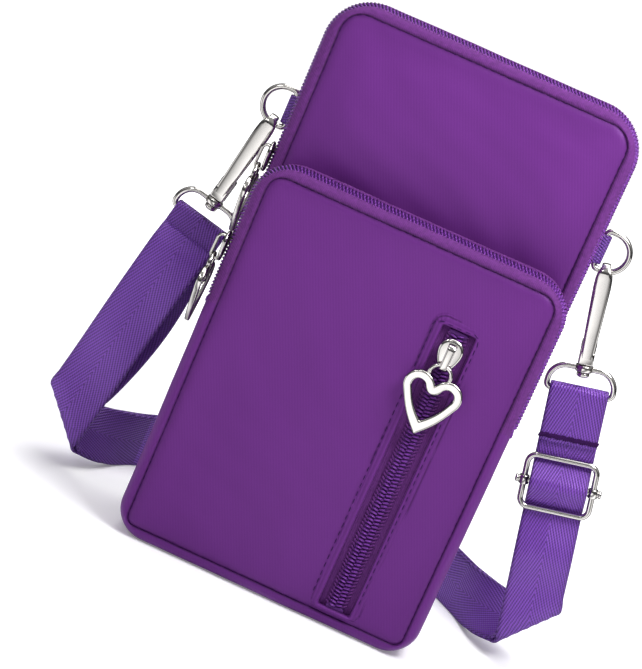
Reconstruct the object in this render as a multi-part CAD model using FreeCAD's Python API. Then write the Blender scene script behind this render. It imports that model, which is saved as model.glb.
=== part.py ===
import FreeCAD, Part
import math
import os
from FreeCAD import Vector

# Zipped phone pouch with a front pocket, a slanted pair of strap clips and a shoulder strap
# Millimetres: X to the right seen from the front, Y to the back, Z up, middle of the main base at the origin

# Pouch sizes
WIDTH = 106.0
HEIGHT = 188.0
POCKET_HEIGHT = 133.0
FRONT_Y = -28.5
SPLIT_Y = -11.5
BACK_Y = 11.5
WALL = 1.6
MAIN_TOP_R = 15.0
POCKET_TOP_R = 13.0
BASE_R = 11.0
EDGE_R = 3.5
BACK_EDGE_R = 5.0
SEAM_SETBACK = 0.3
POCKET_FLANGE = 4.0
LINING = 0.5
LINING_BELOW_ZIP = 6.0
BODY_GAP = 0.3

# Zips
ROW_WIDTH = 2.4
ROW_GAP = 1.0
COIL_PROUD = 0.5
COIL_DEEP = 2.1
STOP_LENGTH = 2.0
MAIN_ZIP_Y = -6.5
MAIN_ZIP_DROP = 70.0
MAIN_HINGE_RISE = 7.0
POCKET_ZIP_Y = -23.5
POCKET_ZIP_DROP = 49.0
POCKET_HINGE_DROP = 20.0

# Front welt zip
WELT_FROM_EDGE = 28.5
WELT_SLOT = 11.5
WELT_BOTTOM = 6.5
WELT_TOP_DROP = 5.5
WELT_LIP = 2.8
WELT_PROUD = 0.5
TAPE = 0.6
TAPE_WIDTH = 9.5
FRONT_ROW_WIDTH = 2.6
FRONT_ROW_TALL = 1.8
BAG_INWARD = 20.5
BAG_OUTWARD = 15.5
BAG_DEEP = 3.2

# Zip sliders and heart pulls
SLIDER_LONG = 10.5
SLIDER_WIDE = 8.2
SLIDER_INNER_WIDE = 5.0
SLIDER_TAIL = 0.64
SLIDER_PLATE = 1.3
SLIDER_CLEAR = 0.3
SLIDER_WEB = 0.6
SLIDER_WEB_FROM = 0.3
SLIDER_WEB_TO = 0.75
SLIDER_SHOULDER = 0.2
SLIDER_CHEEK = 0.7
SLIDER_WELD = 0.2
BAIL_TALL = 3.0
BAIL_WIDE = 1.8
BAIL_WALL = 0.9
BAIL_LONG = 6.0
PULL_PLAY = 0.1
FRONT_SLIDER_DROP = 8.1
POCKET_SLIDER_RISE = 16.4
MAIN_SLIDER_RISE = 11.5
PULL_SPACING = 29.0
HEART_LOBE_R = 5.0
HEART_LOBE_X = 4.75
HEART_TALL = 20.0
HEART_BAR = 2.7
HEART_THICK = 1.8
LOOP_WIDE = 8.4
LOOP_TALL = 8.8
LOOP_BAR = 1.3
LOOP_TO_HEART = 3.7

# Side tabs, D-rings, snap hooks and strap rings
WIRE_R = 1.0
TAB_WIDE = 9.8
TAB_THICK = 0.7
TAB_CLEAR = 0.25
TAB_ROOT = 3.4
CLIP_Y = 8.5
DRING_BAR_OUT = 2.2
DRING_DROP = 44.0
DRING_R = 6.5
DRING_FLAT = 3.1
DRING_CORNER_R = 1.5
LEAN = 12.5
HOOK_EYE_R = 1.9
HOOK_THICK = 1.5
HOOK_NOSE_WIDE = 2.8
HOOK_BODY_WIDE = 5.0
HOOK_REST = 0.45
HOOK_LENGTH = 29.0
HOOK_BLOCK = 4.4
HOOK_BACK_Y = 2.6
HOOK_EAR = 0.8
HOOK_WAIST = 0.75
HOOK_BEND_START = 12.0
NOSE_END_ANGLE = -25.0
GATE_PIN_R = 0.7
GATE_PIN_Y = 1.3
GATE_PIN_UP = 4.2
GATE_BARREL_R = 1.3
GATE_PLAY = 0.1
THUMB_UP = 5.0
THUMB = 1.6
GATE_TOP_DROP = 2.4
GATE_THICK = 1.2
SPRING_R = 1.25
SPRING_BORE_R = 0.85
STEM_R = 1.1
STEM_CLEAR = 0.25
COLLAR_R = 2.3
COLLAR_TALL = 2.4
HEAD_R = 1.9
HEAD_TALL = 1.4
RING_HALF = 11.0
RING_TALL = 8.4
RING_ARCH_R = 6.0
RING_CORNER_R = 1.6

# Webbing
STRAP_WIDE = 19.5
STRAP_THICK = 1.2
STRAP_SPACING = 1.8
FOLD_CLEAR = 0.2
FOLD_LEG = 9.0
FOLD_MEET = 0.8
STRAP_ACROSS = 6
HANG_SECTIONS = 8
KNEE_SECTIONS = 16
FOOT_SECTIONS = 10
FOOT_STEP = 0.01
FOOT_OUT = 9.5
FOOT_Y = 41.5
FOOT_HEADING = 54.0
KNEE_R = 3.5
KNEE_TURN = 115.0
KNEE_Z = 21.0
LAYER_BULGE = 3.0
INNER_BULGE = -3.0
BACK_LEAD = 30.0
BACK_BEND = 32.0
BACK_RUN_IN = 87.0
BACK_RUN_STEP = 4.0
BACK_TURN = 34.6
BACK_CORNER_LONG = 60.0
BACK_ROUTE_END_R = 26.0

# Strap buckle
BUCKLE_DROP = 32.5
BUCKLE_HALF_X = 11.6
BUCKLE_HALF_Z = 9.0
BUCKLE_CORNER_R = 3.0
SLEEVE_R = 1.7
SLEEVE_LONG = 3.0
SLEEVE_CLEAR = 0.2
BUTTON_R = 1.3
BUTTON_LONG = 1.0
BUTTON_REACH = 2.9
THREAD_OVERLAP = 1.5
INNER_WRAP = 150.0
INNER_TAIL = 4.0
INNER_STEP = 0.9
RETURN_LONG = 17.0

# Heights and places that follow from the sizes above
MAIN_ZIP_END = HEIGHT - MAIN_ZIP_DROP
LINING_TOP = MAIN_ZIP_END - LINING_BELOW_ZIP
# the flap folds above the pocket and above the end of its own zip
MAIN_HINGE_Z = max(POCKET_HEIGHT, MAIN_ZIP_END) + MAIN_HINGE_RISE
POCKET_ZIP_END = POCKET_HEIGHT - POCKET_ZIP_DROP
POCKET_HINGE_Z = POCKET_HEIGHT - POCKET_HINGE_DROP
WELT_X = WIDTH / 2 - WELT_FROM_EDGE
WELT_TOP = POCKET_HINGE_Z - WELT_TOP_DROP
FRONT_SLIDER_Z = WELT_TOP - FRONT_SLIDER_DROP
POCKET_SLIDER_Z = POCKET_ZIP_END + POCKET_SLIDER_RISE
# the main pull hangs clear of the pocket's pull
MAIN_SLIDER_Z = max(MAIN_ZIP_END + MAIN_SLIDER_RISE, POCKET_SLIDER_Z + PULL_SPACING)
TAB_ROOT_X = WIDTH / 2 - TAB_ROOT
DRING_BAR_X = WIDTH / 2 + DRING_BAR_OUT
DRING_ARC_X = DRING_BAR_X + DRING_FLAT
DRING_Z = HEIGHT - DRING_DROP
FOOT_X = WIDTH / 2 + FOOT_OUT
# Floor route behind the pouch from the left foot: length and left turn of each stretch
BACK_RUN = 2 * FOOT_X - BACK_RUN_IN
BACK_ROUTE = (
    (BACK_LEAD, 0.0), (BACK_BEND, -FOOT_HEADING), (BACK_RUN, 0.0), (BACK_TURN, 180.0),
    (BACK_RUN - BACK_RUN_STEP, 0.0), (BACK_TURN, -180.0),
)
BACK_CORNER = (BACK_CORNER_LONG, -90.0)
FAR = 2 * HEIGHT


def box(x0, x1, y0, y1, z0, z1):
    return Part.makeBox(x1 - x0, y1 - y0, z1 - z0, Vector(x0, y0, z0))


def clip(shape, x=(-FAR, FAR), y=(-FAR, FAR), z=(-FAR, FAR)):
    return shape.common(box(x[0], x[1], y[0], y[1], z[0], z[1]))


def fuse(shapes):
    whole = shapes[0].multiFuse(shapes[1:])
    return whole.removeSplitter()


def group(shapes):
    return Part.makeCompound(shapes)


def arc_by_mid(a, b, centre, radius):
    # short arc from a to b round a centre
    mid = (a + b) * 0.5 - centre
    mid.normalize()
    return Part.Arc(a, centre + mid * radius, b).toShape()


def outline(inset, height, top_r, y):
    # rounded upright rectangle of the pouch's width, drawn in by an inset
    half = WIDTH / 2 - inset
    low = inset
    high = height - inset
    rb = BASE_R - inset
    rt = top_r - inset
    corners = (
        (Vector(half - rb, y, low), Vector(half, y, low + rb), Vector(half - rb, y, low + rb), rb),
        (Vector(half, y, high - rt), Vector(half - rt, y, high), Vector(half - rt, y, high - rt), rt),
        (Vector(-half + rt, y, high), Vector(-half, y, high - rt), Vector(-half + rt, y, high - rt), rt),
        (Vector(-half, y, low + rb), Vector(-half + rb, y, low), Vector(-half + rb, y, low + rb), rb),
    )
    edges = []
    for i, (a, b, c, r) in enumerate(corners):
        edges.append(arc_by_mid(a, b, c, r))
        edges.append(Part.LineSegment(b, corners[(i + 1) % len(corners)][0]).toShape())
    return Part.Wire(edges)


def prism(inset, height, top_r, y0, y1):
    face = Part.Face(outline(inset, height, top_r, y0))
    return face.extrude(Vector(0, y1 - y0, 0))


def pillow(inset, height, top_r, y0, y1, front_r, back_r):
    # the prism with both rims rounded
    body = prism(inset, height, top_r, y0, y1)
    for y, r in ((y0, front_r), (y1, back_r)):
        rim = [e for e in body.Edges if abs(e.BoundBox.YMin - y) < 1e-6 and abs(e.BoundBox.YMax - y) < 1e-6]
        body = body.makeFillet(r, rim)
    return body


def shell(height, top_r, y0, y1, front_r, back_r):
    outer = pillow(0, height, top_r, y0, y1, front_r, back_r)
    inner = pillow(WALL, height, top_r, y0 + WALL, y1 - WALL, front_r - WALL, back_r - WALL)
    return outer.cut(inner)


def band(height, top_r, y0, y1, outside, inside):
    # hoop that follows the side of the pouch
    return prism(-outside, height, top_r, y0, y1).cut(prism(inside, height, top_r, y0 - 1, y1 + 1))


def zip_rows(height, top_r, y):
    front = band(height, top_r, y - ROW_GAP / 2 - ROW_WIDTH, y - ROW_GAP / 2, COIL_PROUD, COIL_DEEP)
    rear = band(height, top_r, y + ROW_GAP / 2, y + ROW_GAP / 2 + ROW_WIDTH, COIL_PROUD, COIL_DEEP)
    return front, rear


def zip_slot(height, top_r, y, end_z):
    reach = ROW_GAP / 2 + ROW_WIDTH
    slot = band(height, top_r, y - reach, y + reach, 2, 4)
    return clip(slot, z=(end_z - STOP_LENGTH, FAR))


def zip_stops(height, top_r, y, end_z):
    reach = ROW_GAP / 2 + ROW_WIDTH
    stops = band(height, top_r, y - reach, y + reach, COIL_PROUD, COIL_DEEP)
    return clip(stops, z=(end_z - STOP_LENGTH, end_z))


# Main compartment
parts = {}
seam = EDGE_R + SEAM_SETBACK
main = shell(HEIGHT, MAIN_TOP_R, SPLIT_Y, BACK_Y, EDGE_R, BACK_EDGE_R)
front_core = prism(seam, HEIGHT, MAIN_TOP_R, SPLIT_Y - 1, SPLIT_Y + WALL)
back_core = prism(BACK_EDGE_R + SEAM_SETBACK, HEIGHT, MAIN_TOP_R, BACK_Y - WALL, BACK_Y + 1)
front_panel = main.common(front_core)
below = (-FAR, MAIN_HINGE_Z - BODY_GAP / 2)
above = (MAIN_HINGE_Z + BODY_GAP / 2, FAR)
parts["main_back_panel"] = main.common(back_core)
parts["main_front_panel"] = clip(front_panel, z=below)
parts["main_flap_panel"] = clip(front_panel, z=above)
main_side = main.cut(front_core).cut(back_core)
main_side = main_side.cut(zip_slot(HEIGHT, MAIN_TOP_R, MAIN_ZIP_Y, MAIN_ZIP_END))
main_low = MAIN_ZIP_END - STOP_LENGTH
parts["main_gusset"] = clip(main_side, z=(-FAR, main_low))
main_front_tape = clip(main_side, y=(-FAR, MAIN_ZIP_Y), z=(main_low, FAR))
rear_tape = clip(main_side, y=(MAIN_ZIP_Y, FAR), z=(main_low, FAR))
parts["main_zip_tape_front"] = clip(main_front_tape, z=below)
parts["main_flap_tape"] = clip(main_front_tape, z=above)
front_row, rear_row = zip_rows(HEIGHT, MAIN_TOP_R, MAIN_ZIP_Y)
parts["main_zip_coil_rear"] = clip(rear_row, z=(MAIN_ZIP_END, FAR))
parts["main_zip_coil_front"] = clip(front_row, z=(MAIN_ZIP_END, below[1]))
parts["main_flap_coil"] = clip(front_row, z=above)
parts["main_zip_stops"] = zip_stops(HEIGHT, MAIN_TOP_R, MAIN_ZIP_Y, MAIN_ZIP_END)
lining_outer = pillow(
    WALL, HEIGHT, MAIN_TOP_R, SPLIT_Y + WALL, BACK_Y - WALL, EDGE_R - WALL, BACK_EDGE_R - WALL
)
lining_depth = WALL + LINING
lining_inner = pillow(
    lining_depth, HEIGHT, MAIN_TOP_R, SPLIT_Y + lining_depth, BACK_Y - lining_depth,
    EDGE_R - lining_depth, BACK_EDGE_R - lining_depth
)
parts["main_lining"] = clip(lining_outer.cut(lining_inner), z=(-FAR, LINING_TOP))

# Front pocket, open to the rear onto the main compartment's front panel
pocket = shell(POCKET_HEIGHT, POCKET_TOP_R, FRONT_Y, SPLIT_Y, EDGE_R, EDGE_R)
pocket_core = prism(seam, POCKET_HEIGHT, POCKET_TOP_R, FRONT_Y - 1, FRONT_Y + WALL)
pocket_back = prism(seam + POCKET_FLANGE, POCKET_HEIGHT, POCKET_TOP_R, SPLIT_Y - WALL - 1, SPLIT_Y + 1)
pocket_panel = pocket.common(pocket_core)
pocket_side = pocket.cut(pocket_core).cut(pocket_back)
pocket_side = pocket_side.cut(zip_slot(POCKET_HEIGHT, POCKET_TOP_R, POCKET_ZIP_Y, POCKET_ZIP_END))
pocket_low = POCKET_ZIP_END - STOP_LENGTH
lip_below = (-FAR, POCKET_HINGE_Z - BODY_GAP / 2)
lip_above = (POCKET_HINGE_Z + BODY_GAP / 2, FAR)
parts["pocket_lip_panel"] = clip(pocket_panel, z=lip_above)
parts["pocket_gusset"] = clip(pocket_side, z=(-FAR, pocket_low))
pocket_front_tape = clip(pocket_side, y=(-FAR, POCKET_ZIP_Y), z=(pocket_low, FAR))
parts["pocket_zip_tape_rear"] = clip(pocket_side, y=(POCKET_ZIP_Y, FAR), z=(pocket_low, FAR))
parts["pocket_zip_tape_front"] = clip(pocket_front_tape, z=lip_below)
parts["pocket_lip_tape"] = clip(pocket_front_tape, z=lip_above)
front_row, rear_row = zip_rows(POCKET_HEIGHT, POCKET_TOP_R, POCKET_ZIP_Y)
parts["pocket_zip_coil_rear"] = clip(rear_row, z=(POCKET_ZIP_END, FAR))
parts["pocket_zip_coil_front"] = clip(front_row, z=(POCKET_ZIP_END, lip_below[1]))
parts["pocket_lip_coil"] = clip(front_row, z=lip_above)
parts["pocket_zip_stops"] = zip_stops(POCKET_HEIGHT, POCKET_TOP_R, POCKET_ZIP_Y, POCKET_ZIP_END)

# Welt zip in the pocket's front panel
slot_x = (WELT_X - WELT_SLOT / 2, WELT_X + WELT_SLOT / 2)
slot = box(slot_x[0], slot_x[1], FRONT_Y - WALL, FRONT_Y + 2 * WALL, WELT_BOTTOM, WELT_TOP)
parts["pocket_front_panel"] = clip(pocket_panel, z=lip_below).cut(slot)
lips = box(
    slot_x[0] - WELT_LIP, slot_x[1] + WELT_LIP, FRONT_Y - WELT_PROUD, FRONT_Y, seam, WELT_TOP + WELT_LIP
)
parts["front_welt"] = lips.cut(slot)
tape_y = FRONT_Y + WALL
bag_z = (seam + BODY_GAP, POCKET_HINGE_Z - 2 * BODY_GAP)
row_inner = ROW_GAP / 2
tapes = []
rows = []
for s in (-1, 1):
    x0, x1 = sorted((WELT_X + s * row_inner, WELT_X + s * (row_inner + TAPE_WIDTH)))
    tapes.append(box(x0, x1, tape_y, tape_y + TAPE, bag_z[0] + 2 * TAPE, WELT_TOP + WELT_LIP))
    x0, x1 = sorted((WELT_X + s * row_inner, WELT_X + s * (row_inner + FRONT_ROW_WIDTH)))
    row = box(x0, x1, tape_y - FRONT_ROW_TALL, tape_y, WELT_BOTTOM + STOP_LENGTH, WELT_TOP - STOP_LENGTH)
    crown = [e for e in row.Edges if e.BoundBox.YMax < tape_y - TAPE and e.BoundBox.ZLength > FRONT_ROW_WIDTH]
    rows.append(row.makeFillet(FRONT_ROW_WIDTH / 3, crown))
parts["front_zip_tapes"] = group(tapes)
parts["front_zip_coils"] = group(rows)
row_reach = row_inner + FRONT_ROW_WIDTH
parts["front_zip_stops"] = group([
    box(WELT_X - row_reach, WELT_X + row_reach, tape_y - FRONT_ROW_TALL, tape_y, z, z + STOP_LENGTH)
    for z in (WELT_BOTTOM, WELT_TOP - STOP_LENGTH)
])
bag_x = (WELT_X - BAG_INWARD, WELT_X + BAG_OUTWARD)
bag = box(bag_x[0], bag_x[1], tape_y, tape_y + BAG_DEEP, bag_z[0], bag_z[1])
bag = bag.cut(box(
    bag_x[0] + TAPE, bag_x[1] - TAPE, tape_y - 1, tape_y + BAG_DEEP - TAPE, bag_z[0] + TAPE, bag_z[1] - TAPE
))
parts["front_zip_bag"] = bag


# Zip slider and heart pull, built for the front zip: outside is -Y, the zip runs along Z
def slider_plate(wide, y):
    half = SLIDER_LONG / 2
    tail = wide / 2 * SLIDER_TAIL
    shoulder = half * SLIDER_SHOULDER
    cheek = half * SLIDER_CHEEK
    side = [(tail, -half), (wide / 2, shoulder), (wide / 2, cheek), (tail, half)]
    plan = side + [(-x, z) for x, z in reversed(side)]
    rim = [Vector(x, y, z) for x, z in plan]
    return Part.Face(Part.makePolygon(rim + rim[:1])).extrude(Vector(0, SLIDER_PLATE, 0))


def slider(coil_top, coil_base):
    half = SLIDER_LONG / 2
    top_y = coil_top - SLIDER_CLEAR
    inner_y = coil_base + SLIDER_CLEAR
    top = slider_plate(SLIDER_WIDE, top_y - SLIDER_PLATE)
    low = slider_plate(SLIDER_INNER_WIDE, inner_y)
    web = box(
        -SLIDER_WEB / 2, SLIDER_WEB / 2, top_y - SLIDER_WELD, inner_y + SLIDER_WELD,
        half * SLIDER_WEB_FROM, half * SLIDER_WEB_TO
    )
    out_y = top_y - SLIDER_PLATE
    bail = box(
        -BAIL_WIDE / 2, BAIL_WIDE / 2, out_y - BAIL_TALL, out_y + SLIDER_WELD, -half, -half + BAIL_LONG
    )
    eye = box(
        -BAIL_WIDE, BAIL_WIDE, out_y - BAIL_TALL + BAIL_WALL, out_y,
        -half + BAIL_WALL, -half + BAIL_LONG - BAIL_WALL
    )
    return fuse([top, low, web, bail.cut(eye)])


def pull_axis_y(coil_top):
    return coil_top - SLIDER_CLEAR - SLIDER_PLATE - BAIL_TALL + BAIL_WALL + LOOP_BAR / 2 + PULL_PLAY


def heart_pull():
    # hangs in the XZ plane from an axis along X through the origin
    top = -LOOP_TO_HEART
    lobe_z = top - HEART_LOBE_R
    tip = Vector(0, 0, top - HEART_TALL)
    notch = Vector(0, 0, lobe_z + math.sqrt(HEART_LOBE_R ** 2 - HEART_LOBE_X ** 2))
    reach = math.hypot(HEART_LOBE_X, lobe_z - tip.z)
    swing = math.atan2(lobe_z - tip.z, HEART_LOBE_X) - math.asin(HEART_LOBE_R / reach)
    run = math.sqrt(reach ** 2 - HEART_LOBE_R ** 2)
    side = Vector(run * math.cos(swing), 0, tip.z + run * math.sin(swing))
    mirror = Vector(-side.x, 0, side.z)
    right_top = Vector(HEART_LOBE_X, 0, top)
    left_top = Vector(-HEART_LOBE_X, 0, top)
    rim = Part.Wire([
        Part.LineSegment(tip, side).toShape(),
        Part.Arc(side, Vector(HEART_LOBE_X, 0, lobe_z) + Vector(HEART_LOBE_R * math.cos(0.5), 0,
                 HEART_LOBE_R * math.sin(0.5)), right_top).toShape(),
        arc_by_mid(right_top, notch, Vector(HEART_LOBE_X, 0, lobe_z), HEART_LOBE_R),
        arc_by_mid(notch, left_top, Vector(-HEART_LOBE_X, 0, lobe_z), HEART_LOBE_R),
        Part.Arc(left_top, Vector(-HEART_LOBE_X, 0, lobe_z) + Vector(-HEART_LOBE_R * math.cos(0.5), 0,
                 HEART_LOBE_R * math.sin(0.5)), mirror).toShape(),
        Part.LineSegment(mirror, tip).toShape(),
    ])
    hole = rim.makeOffset2D(-HEART_BAR)
    face = Part.Face(rim).cut(Part.Face(hole))
    plate = face.extrude(Vector(0, HEART_THICK, 0))
    plate.translate(Vector(0, -HEART_THICK / 2, 0))
    half_x = LOOP_WIDE / 2 - LOOP_BAR / 2
    loop_low = LOOP_BAR - LOOP_TALL
    path = rounded_wire(half_x, loop_low, 0, half_x * 0.9)
    loop = pipe(path, LOOP_BAR / 2, Vector(0, 0, 0), Vector(1, 0, 0))
    return fuse([plate, loop])


def rounded_wire(half_x, low, high, r):
    # closed round-cornered loop in the XZ plane, from the middle of its top edge
    pts = ((half_x, high, -1, -1), (half_x, low, -1, 1), (-half_x, low, 1, 1), (-half_x, high, 1, -1))
    edges = []
    last = Vector(0, 0, high)
    for i, (x, z, sx, sz) in enumerate(pts):
        centre = Vector(x + sx * r, 0, z + sz * r)
        along_x = Vector(x + sx * r, 0, z)
        along_z = Vector(x, 0, z + sz * r)
        first, second = (along_x, along_z) if i % 2 == 0 else (along_z, along_x)
        if (first - last).Length > 1e-6:
            edges.append(Part.LineSegment(last, first).toShape())
        edges.append(arc_by_mid(first, second, centre, r))
        last = second
    edges.append(Part.LineSegment(last, Vector(0, 0, high)).toShape())
    return Part.Wire(edges)


def pipe(path, r, start, heading):
    ring = Part.Wire(Part.makeCircle(r, start, heading))
    return path.makePipeShell([ring], True, True)


front_top = tape_y - FRONT_ROW_TALL
pull_drop = SLIDER_LONG / 2 - BAIL_WALL - LOOP_BAR / 2 - PULL_PLAY
side_top = -WIDTH / 2 - COIL_PROUD
side_base = -WIDTH / 2 + COIL_DEEP
front_slider = slider(front_top, tape_y + TAPE)
front_slider.translate(Vector(WELT_X, 0, FRONT_SLIDER_Z))
parts["front_zip_slider"] = front_slider
axis_y = pull_axis_y(front_top)
pull = heart_pull()
pull.translate(Vector(WELT_X, axis_y, FRONT_SLIDER_Z - pull_drop))
parts["front_heart_pull"] = pull
for name, y, z in (("pocket", POCKET_ZIP_Y, POCKET_SLIDER_Z), ("main", MAIN_ZIP_Y, MAIN_SLIDER_Z)):
    side_slider = slider(side_top, side_base)
    side_slider.rotate(Vector(0, 0, 0), Vector(0, 0, 1), -90)
    side_slider.translate(Vector(0, y, z))
    parts[name + "_zip_slider"] = side_slider
    pull = heart_pull()
    pull.translate(Vector(0, pull_axis_y(side_top), 0))
    pull.rotate(Vector(0, 0, 0), Vector(0, 0, 1), -90)
    pull.translate(Vector(0, y, z - pull_drop))
    parts[name + "_heart_pull"] = pull


# Side tab and D-ring on the right, mirrored for the left
def tab():
    bore = WIRE_R + TAB_CLEAR
    z0 = DRING_Z - TAB_WIDE / 2
    disc = Part.makeCylinder(bore + TAB_THICK, TAB_WIDE, Vector(DRING_BAR_X, CLIP_Y, z0))
    ears = box(
        TAB_ROOT_X, DRING_BAR_X, CLIP_Y - bore - TAB_THICK, CLIP_Y + bore + TAB_THICK, z0, z0 + TAB_WIDE
    )
    bar = Part.makeCylinder(bore, TAB_WIDE + 2, Vector(DRING_BAR_X, CLIP_Y, z0 - 1))
    gap = box(WIDTH / 2 + 0.5, DRING_BAR_X, CLIP_Y - bore, CLIP_Y + bore, z0 - 1, z0 + TAB_WIDE + 1)
    return fuse([disc, ears]).cut(bar).cut(gap)


def d_ring():
    c = DRING_CORNER_R
    low = DRING_Z - DRING_R
    high = DRING_Z + DRING_R
    y = CLIP_Y
    start = Vector(DRING_BAR_X, y, DRING_Z)
    a = Vector(DRING_BAR_X, y, low + c)
    b = Vector(DRING_BAR_X + c, y, low)
    d = Vector(DRING_ARC_X, y, low)
    far = Vector(DRING_ARC_X + DRING_R, y, DRING_Z)
    e = Vector(DRING_ARC_X, y, high)
    f = Vector(DRING_BAR_X + c, y, high)
    g = Vector(DRING_BAR_X, y, high - c)
    path = Part.Wire([
        Part.LineSegment(start, a).toShape(),
        arc_by_mid(a, b, Vector(DRING_BAR_X + c, y, low + c), c),
        Part.LineSegment(b, d).toShape(),
        arc_by_mid(d, far, Vector(DRING_ARC_X, y, DRING_Z), DRING_R),
        arc_by_mid(far, e, Vector(DRING_ARC_X, y, DRING_Z), DRING_R),
        Part.LineSegment(e, f).toShape(),
        arc_by_mid(f, g, Vector(DRING_BAR_X + c, y, high - c), c),
        Part.LineSegment(g, start).toShape(),
    ])
    return pipe(path, WIRE_R, start, Vector(0, 0, 1))


# Swivel trigger snap hook, upright with the D-ring's wire at the origin, bent in the YZ plane
def hook_bar(points, thick, wide):
    # flat bar of constant thickness along points in the YZ plane
    left = []
    right = []
    for i, (y, z) in enumerate(points):
        y0, z0 = points[max(i - 1, 0)]
        y1, z1 = points[min(i + 1, len(points) - 1)]
        n = Vector(0, -(z1 - z0), y1 - y0)
        n.normalize()
        left.append(Vector(-wide / 2, y, z) + n * (thick / 2))
        right.append(Vector(-wide / 2, y, z) - n * (thick / 2))
    rim = left + right[::-1]
    return Part.Face(Part.makePolygon(rim + rim[:1])).extrude(Vector(wide, 0, 0))


eye_z = -(HOOK_EYE_R - WIRE_R - HOOK_REST)
spine_r = HOOK_EYE_R + HOOK_THICK / 2
block_z = -HOOK_LENGTH
pin_y = GATE_PIN_Y
pin_z = block_z + GATE_PIN_UP
hook_x = DRING_ARC_X + DRING_R * math.sin(math.radians(LEAN))
hook_z = DRING_Z - DRING_R * math.cos(math.radians(LEAN))


def hook_body():
    steps = 12
    points = [(-spine_r * HOOK_WAIST, block_z), (-spine_r, block_z + HOOK_BEND_START)]
    for i in range(steps + 1):
        a = math.radians(180 - i * (180 - NOSE_END_ANGLE) / steps)
        points.append((spine_r * math.cos(a), eye_z + spine_r * math.sin(a)))
    nose = hook_bar(points, HOOK_THICK, HOOK_NOSE_WIDE)
    half = HOOK_BODY_WIDE / 2
    front = -spine_r * HOOK_WAIST
    rise = HOOK_BLOCK / 2
    block = box(-half, half, front - HOOK_THICK / 2, HOOK_BACK_Y, block_z - rise, block_z + rise)
    ears = []
    for s in (-1, 1):
        x0, x1 = sorted((s * half, s * (half - HOOK_EAR)))
        ears.append(box(x0, x1, front, HOOK_BACK_Y, block_z, pin_z + HOOK_THICK))
    stem_top = block_z - HOOK_BLOCK / 2
    stem_long = COLLAR_TALL + 2 * STEM_CLEAR
    stem = Part.makeCylinder(STEM_R, stem_long, Vector(0, 0, stem_top - stem_long))
    head = Part.makeCylinder(HEAD_R, HEAD_TALL, Vector(0, 0, stem_top - stem_long - HEAD_TALL))
    body = fuse([nose, block, stem, head] + ears)
    hole = Part.makeCylinder(GATE_PIN_R, 2 * half + 2, Vector(-half - 1, pin_y, pin_z), Vector(1, 0, 0))
    return body.cut(hole)


def gate():
    wide = HOOK_NOSE_WIDE - 2 * HOOK_REST
    top = (HOOK_EYE_R + GATE_THICK / 2 + GATE_PLAY, eye_z - GATE_TOP_DROP)
    bar = hook_bar([(pin_y, pin_z), top], GATE_THICK, wide)
    barrel = Part.makeCylinder(GATE_BARREL_R, wide, Vector(-wide / 2, pin_y, pin_z), Vector(1, 0, 0))
    thumb_z = pin_z + THUMB_UP
    thumb = box(-wide / 2, wide / 2, pin_y, pin_y + GATE_THICK + THUMB / 2, thumb_z, thumb_z + THUMB)
    whole = fuse([bar, barrel, thumb])
    along = Vector(1, 0, 0)
    bore = Part.makeCylinder(GATE_PIN_R + GATE_PLAY, 2 * wide, Vector(-wide, pin_y, pin_z), along)
    room = Part.makeCylinder(SPRING_R + 4 * GATE_PLAY, wide / 2, Vector(-wide / 4, pin_y, pin_z), along)
    return whole.cut(bore).cut(room)


def gate_pin():
    wide = HOOK_BODY_WIDE
    return Part.makeCylinder(GATE_PIN_R, wide, Vector(-wide / 2, pin_y, pin_z), Vector(1, 0, 0))


def gate_spring():
    wide = (HOOK_NOSE_WIDE - 2 * HOOK_REST) / 3
    at = Vector(-wide / 2, pin_y, pin_z)
    tube = Part.makeCylinder(SPRING_R, wide, at, Vector(1, 0, 0))
    return tube.cut(Part.makeCylinder(SPRING_BORE_R, wide, at, Vector(1, 0, 0)))


collar_z = block_z - HOOK_BLOCK / 2 - STEM_CLEAR - COLLAR_TALL / 2
bar_z = collar_z - RING_TALL


def strap_ring():
    c = RING_CORNER_R
    start = Vector(0, 0, bar_z)
    turn = RING_HALF - RING_ARCH_R
    sides = []
    for s in (1, -1):
        a = Vector(s * (RING_HALF - c), 0, bar_z)
        b = Vector(s * RING_HALF, 0, bar_z + c)
        d = Vector(s * RING_HALF, 0, collar_z - RING_ARCH_R)
        e = Vector(s * turn, 0, collar_z)
        edges = [
            Part.LineSegment(start, a).toShape(),
            arc_by_mid(a, b, Vector(s * (RING_HALF - c), 0, bar_z + c), c),
            Part.LineSegment(b, d).toShape(),
            arc_by_mid(d, e, Vector(s * turn, 0, collar_z - RING_ARCH_R), RING_ARCH_R),
            Part.LineSegment(e, Vector(s * COLLAR_R * 0.8, 0, collar_z)).toShape(),
        ]
        sides.append(pipe(Part.Wire(edges), WIRE_R, start, Vector(1, 0, 0)))
    collar = Part.makeCylinder(COLLAR_R, COLLAR_TALL, Vector(0, 0, collar_z - COLLAR_TALL / 2))
    bore = Part.makeCylinder(STEM_R + STEM_CLEAR, 3 * COLLAR_TALL, Vector(0, 0, collar_z - 1.5 * COLLAR_TALL))
    return fuse(sides + [collar]).cut(bore)


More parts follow.
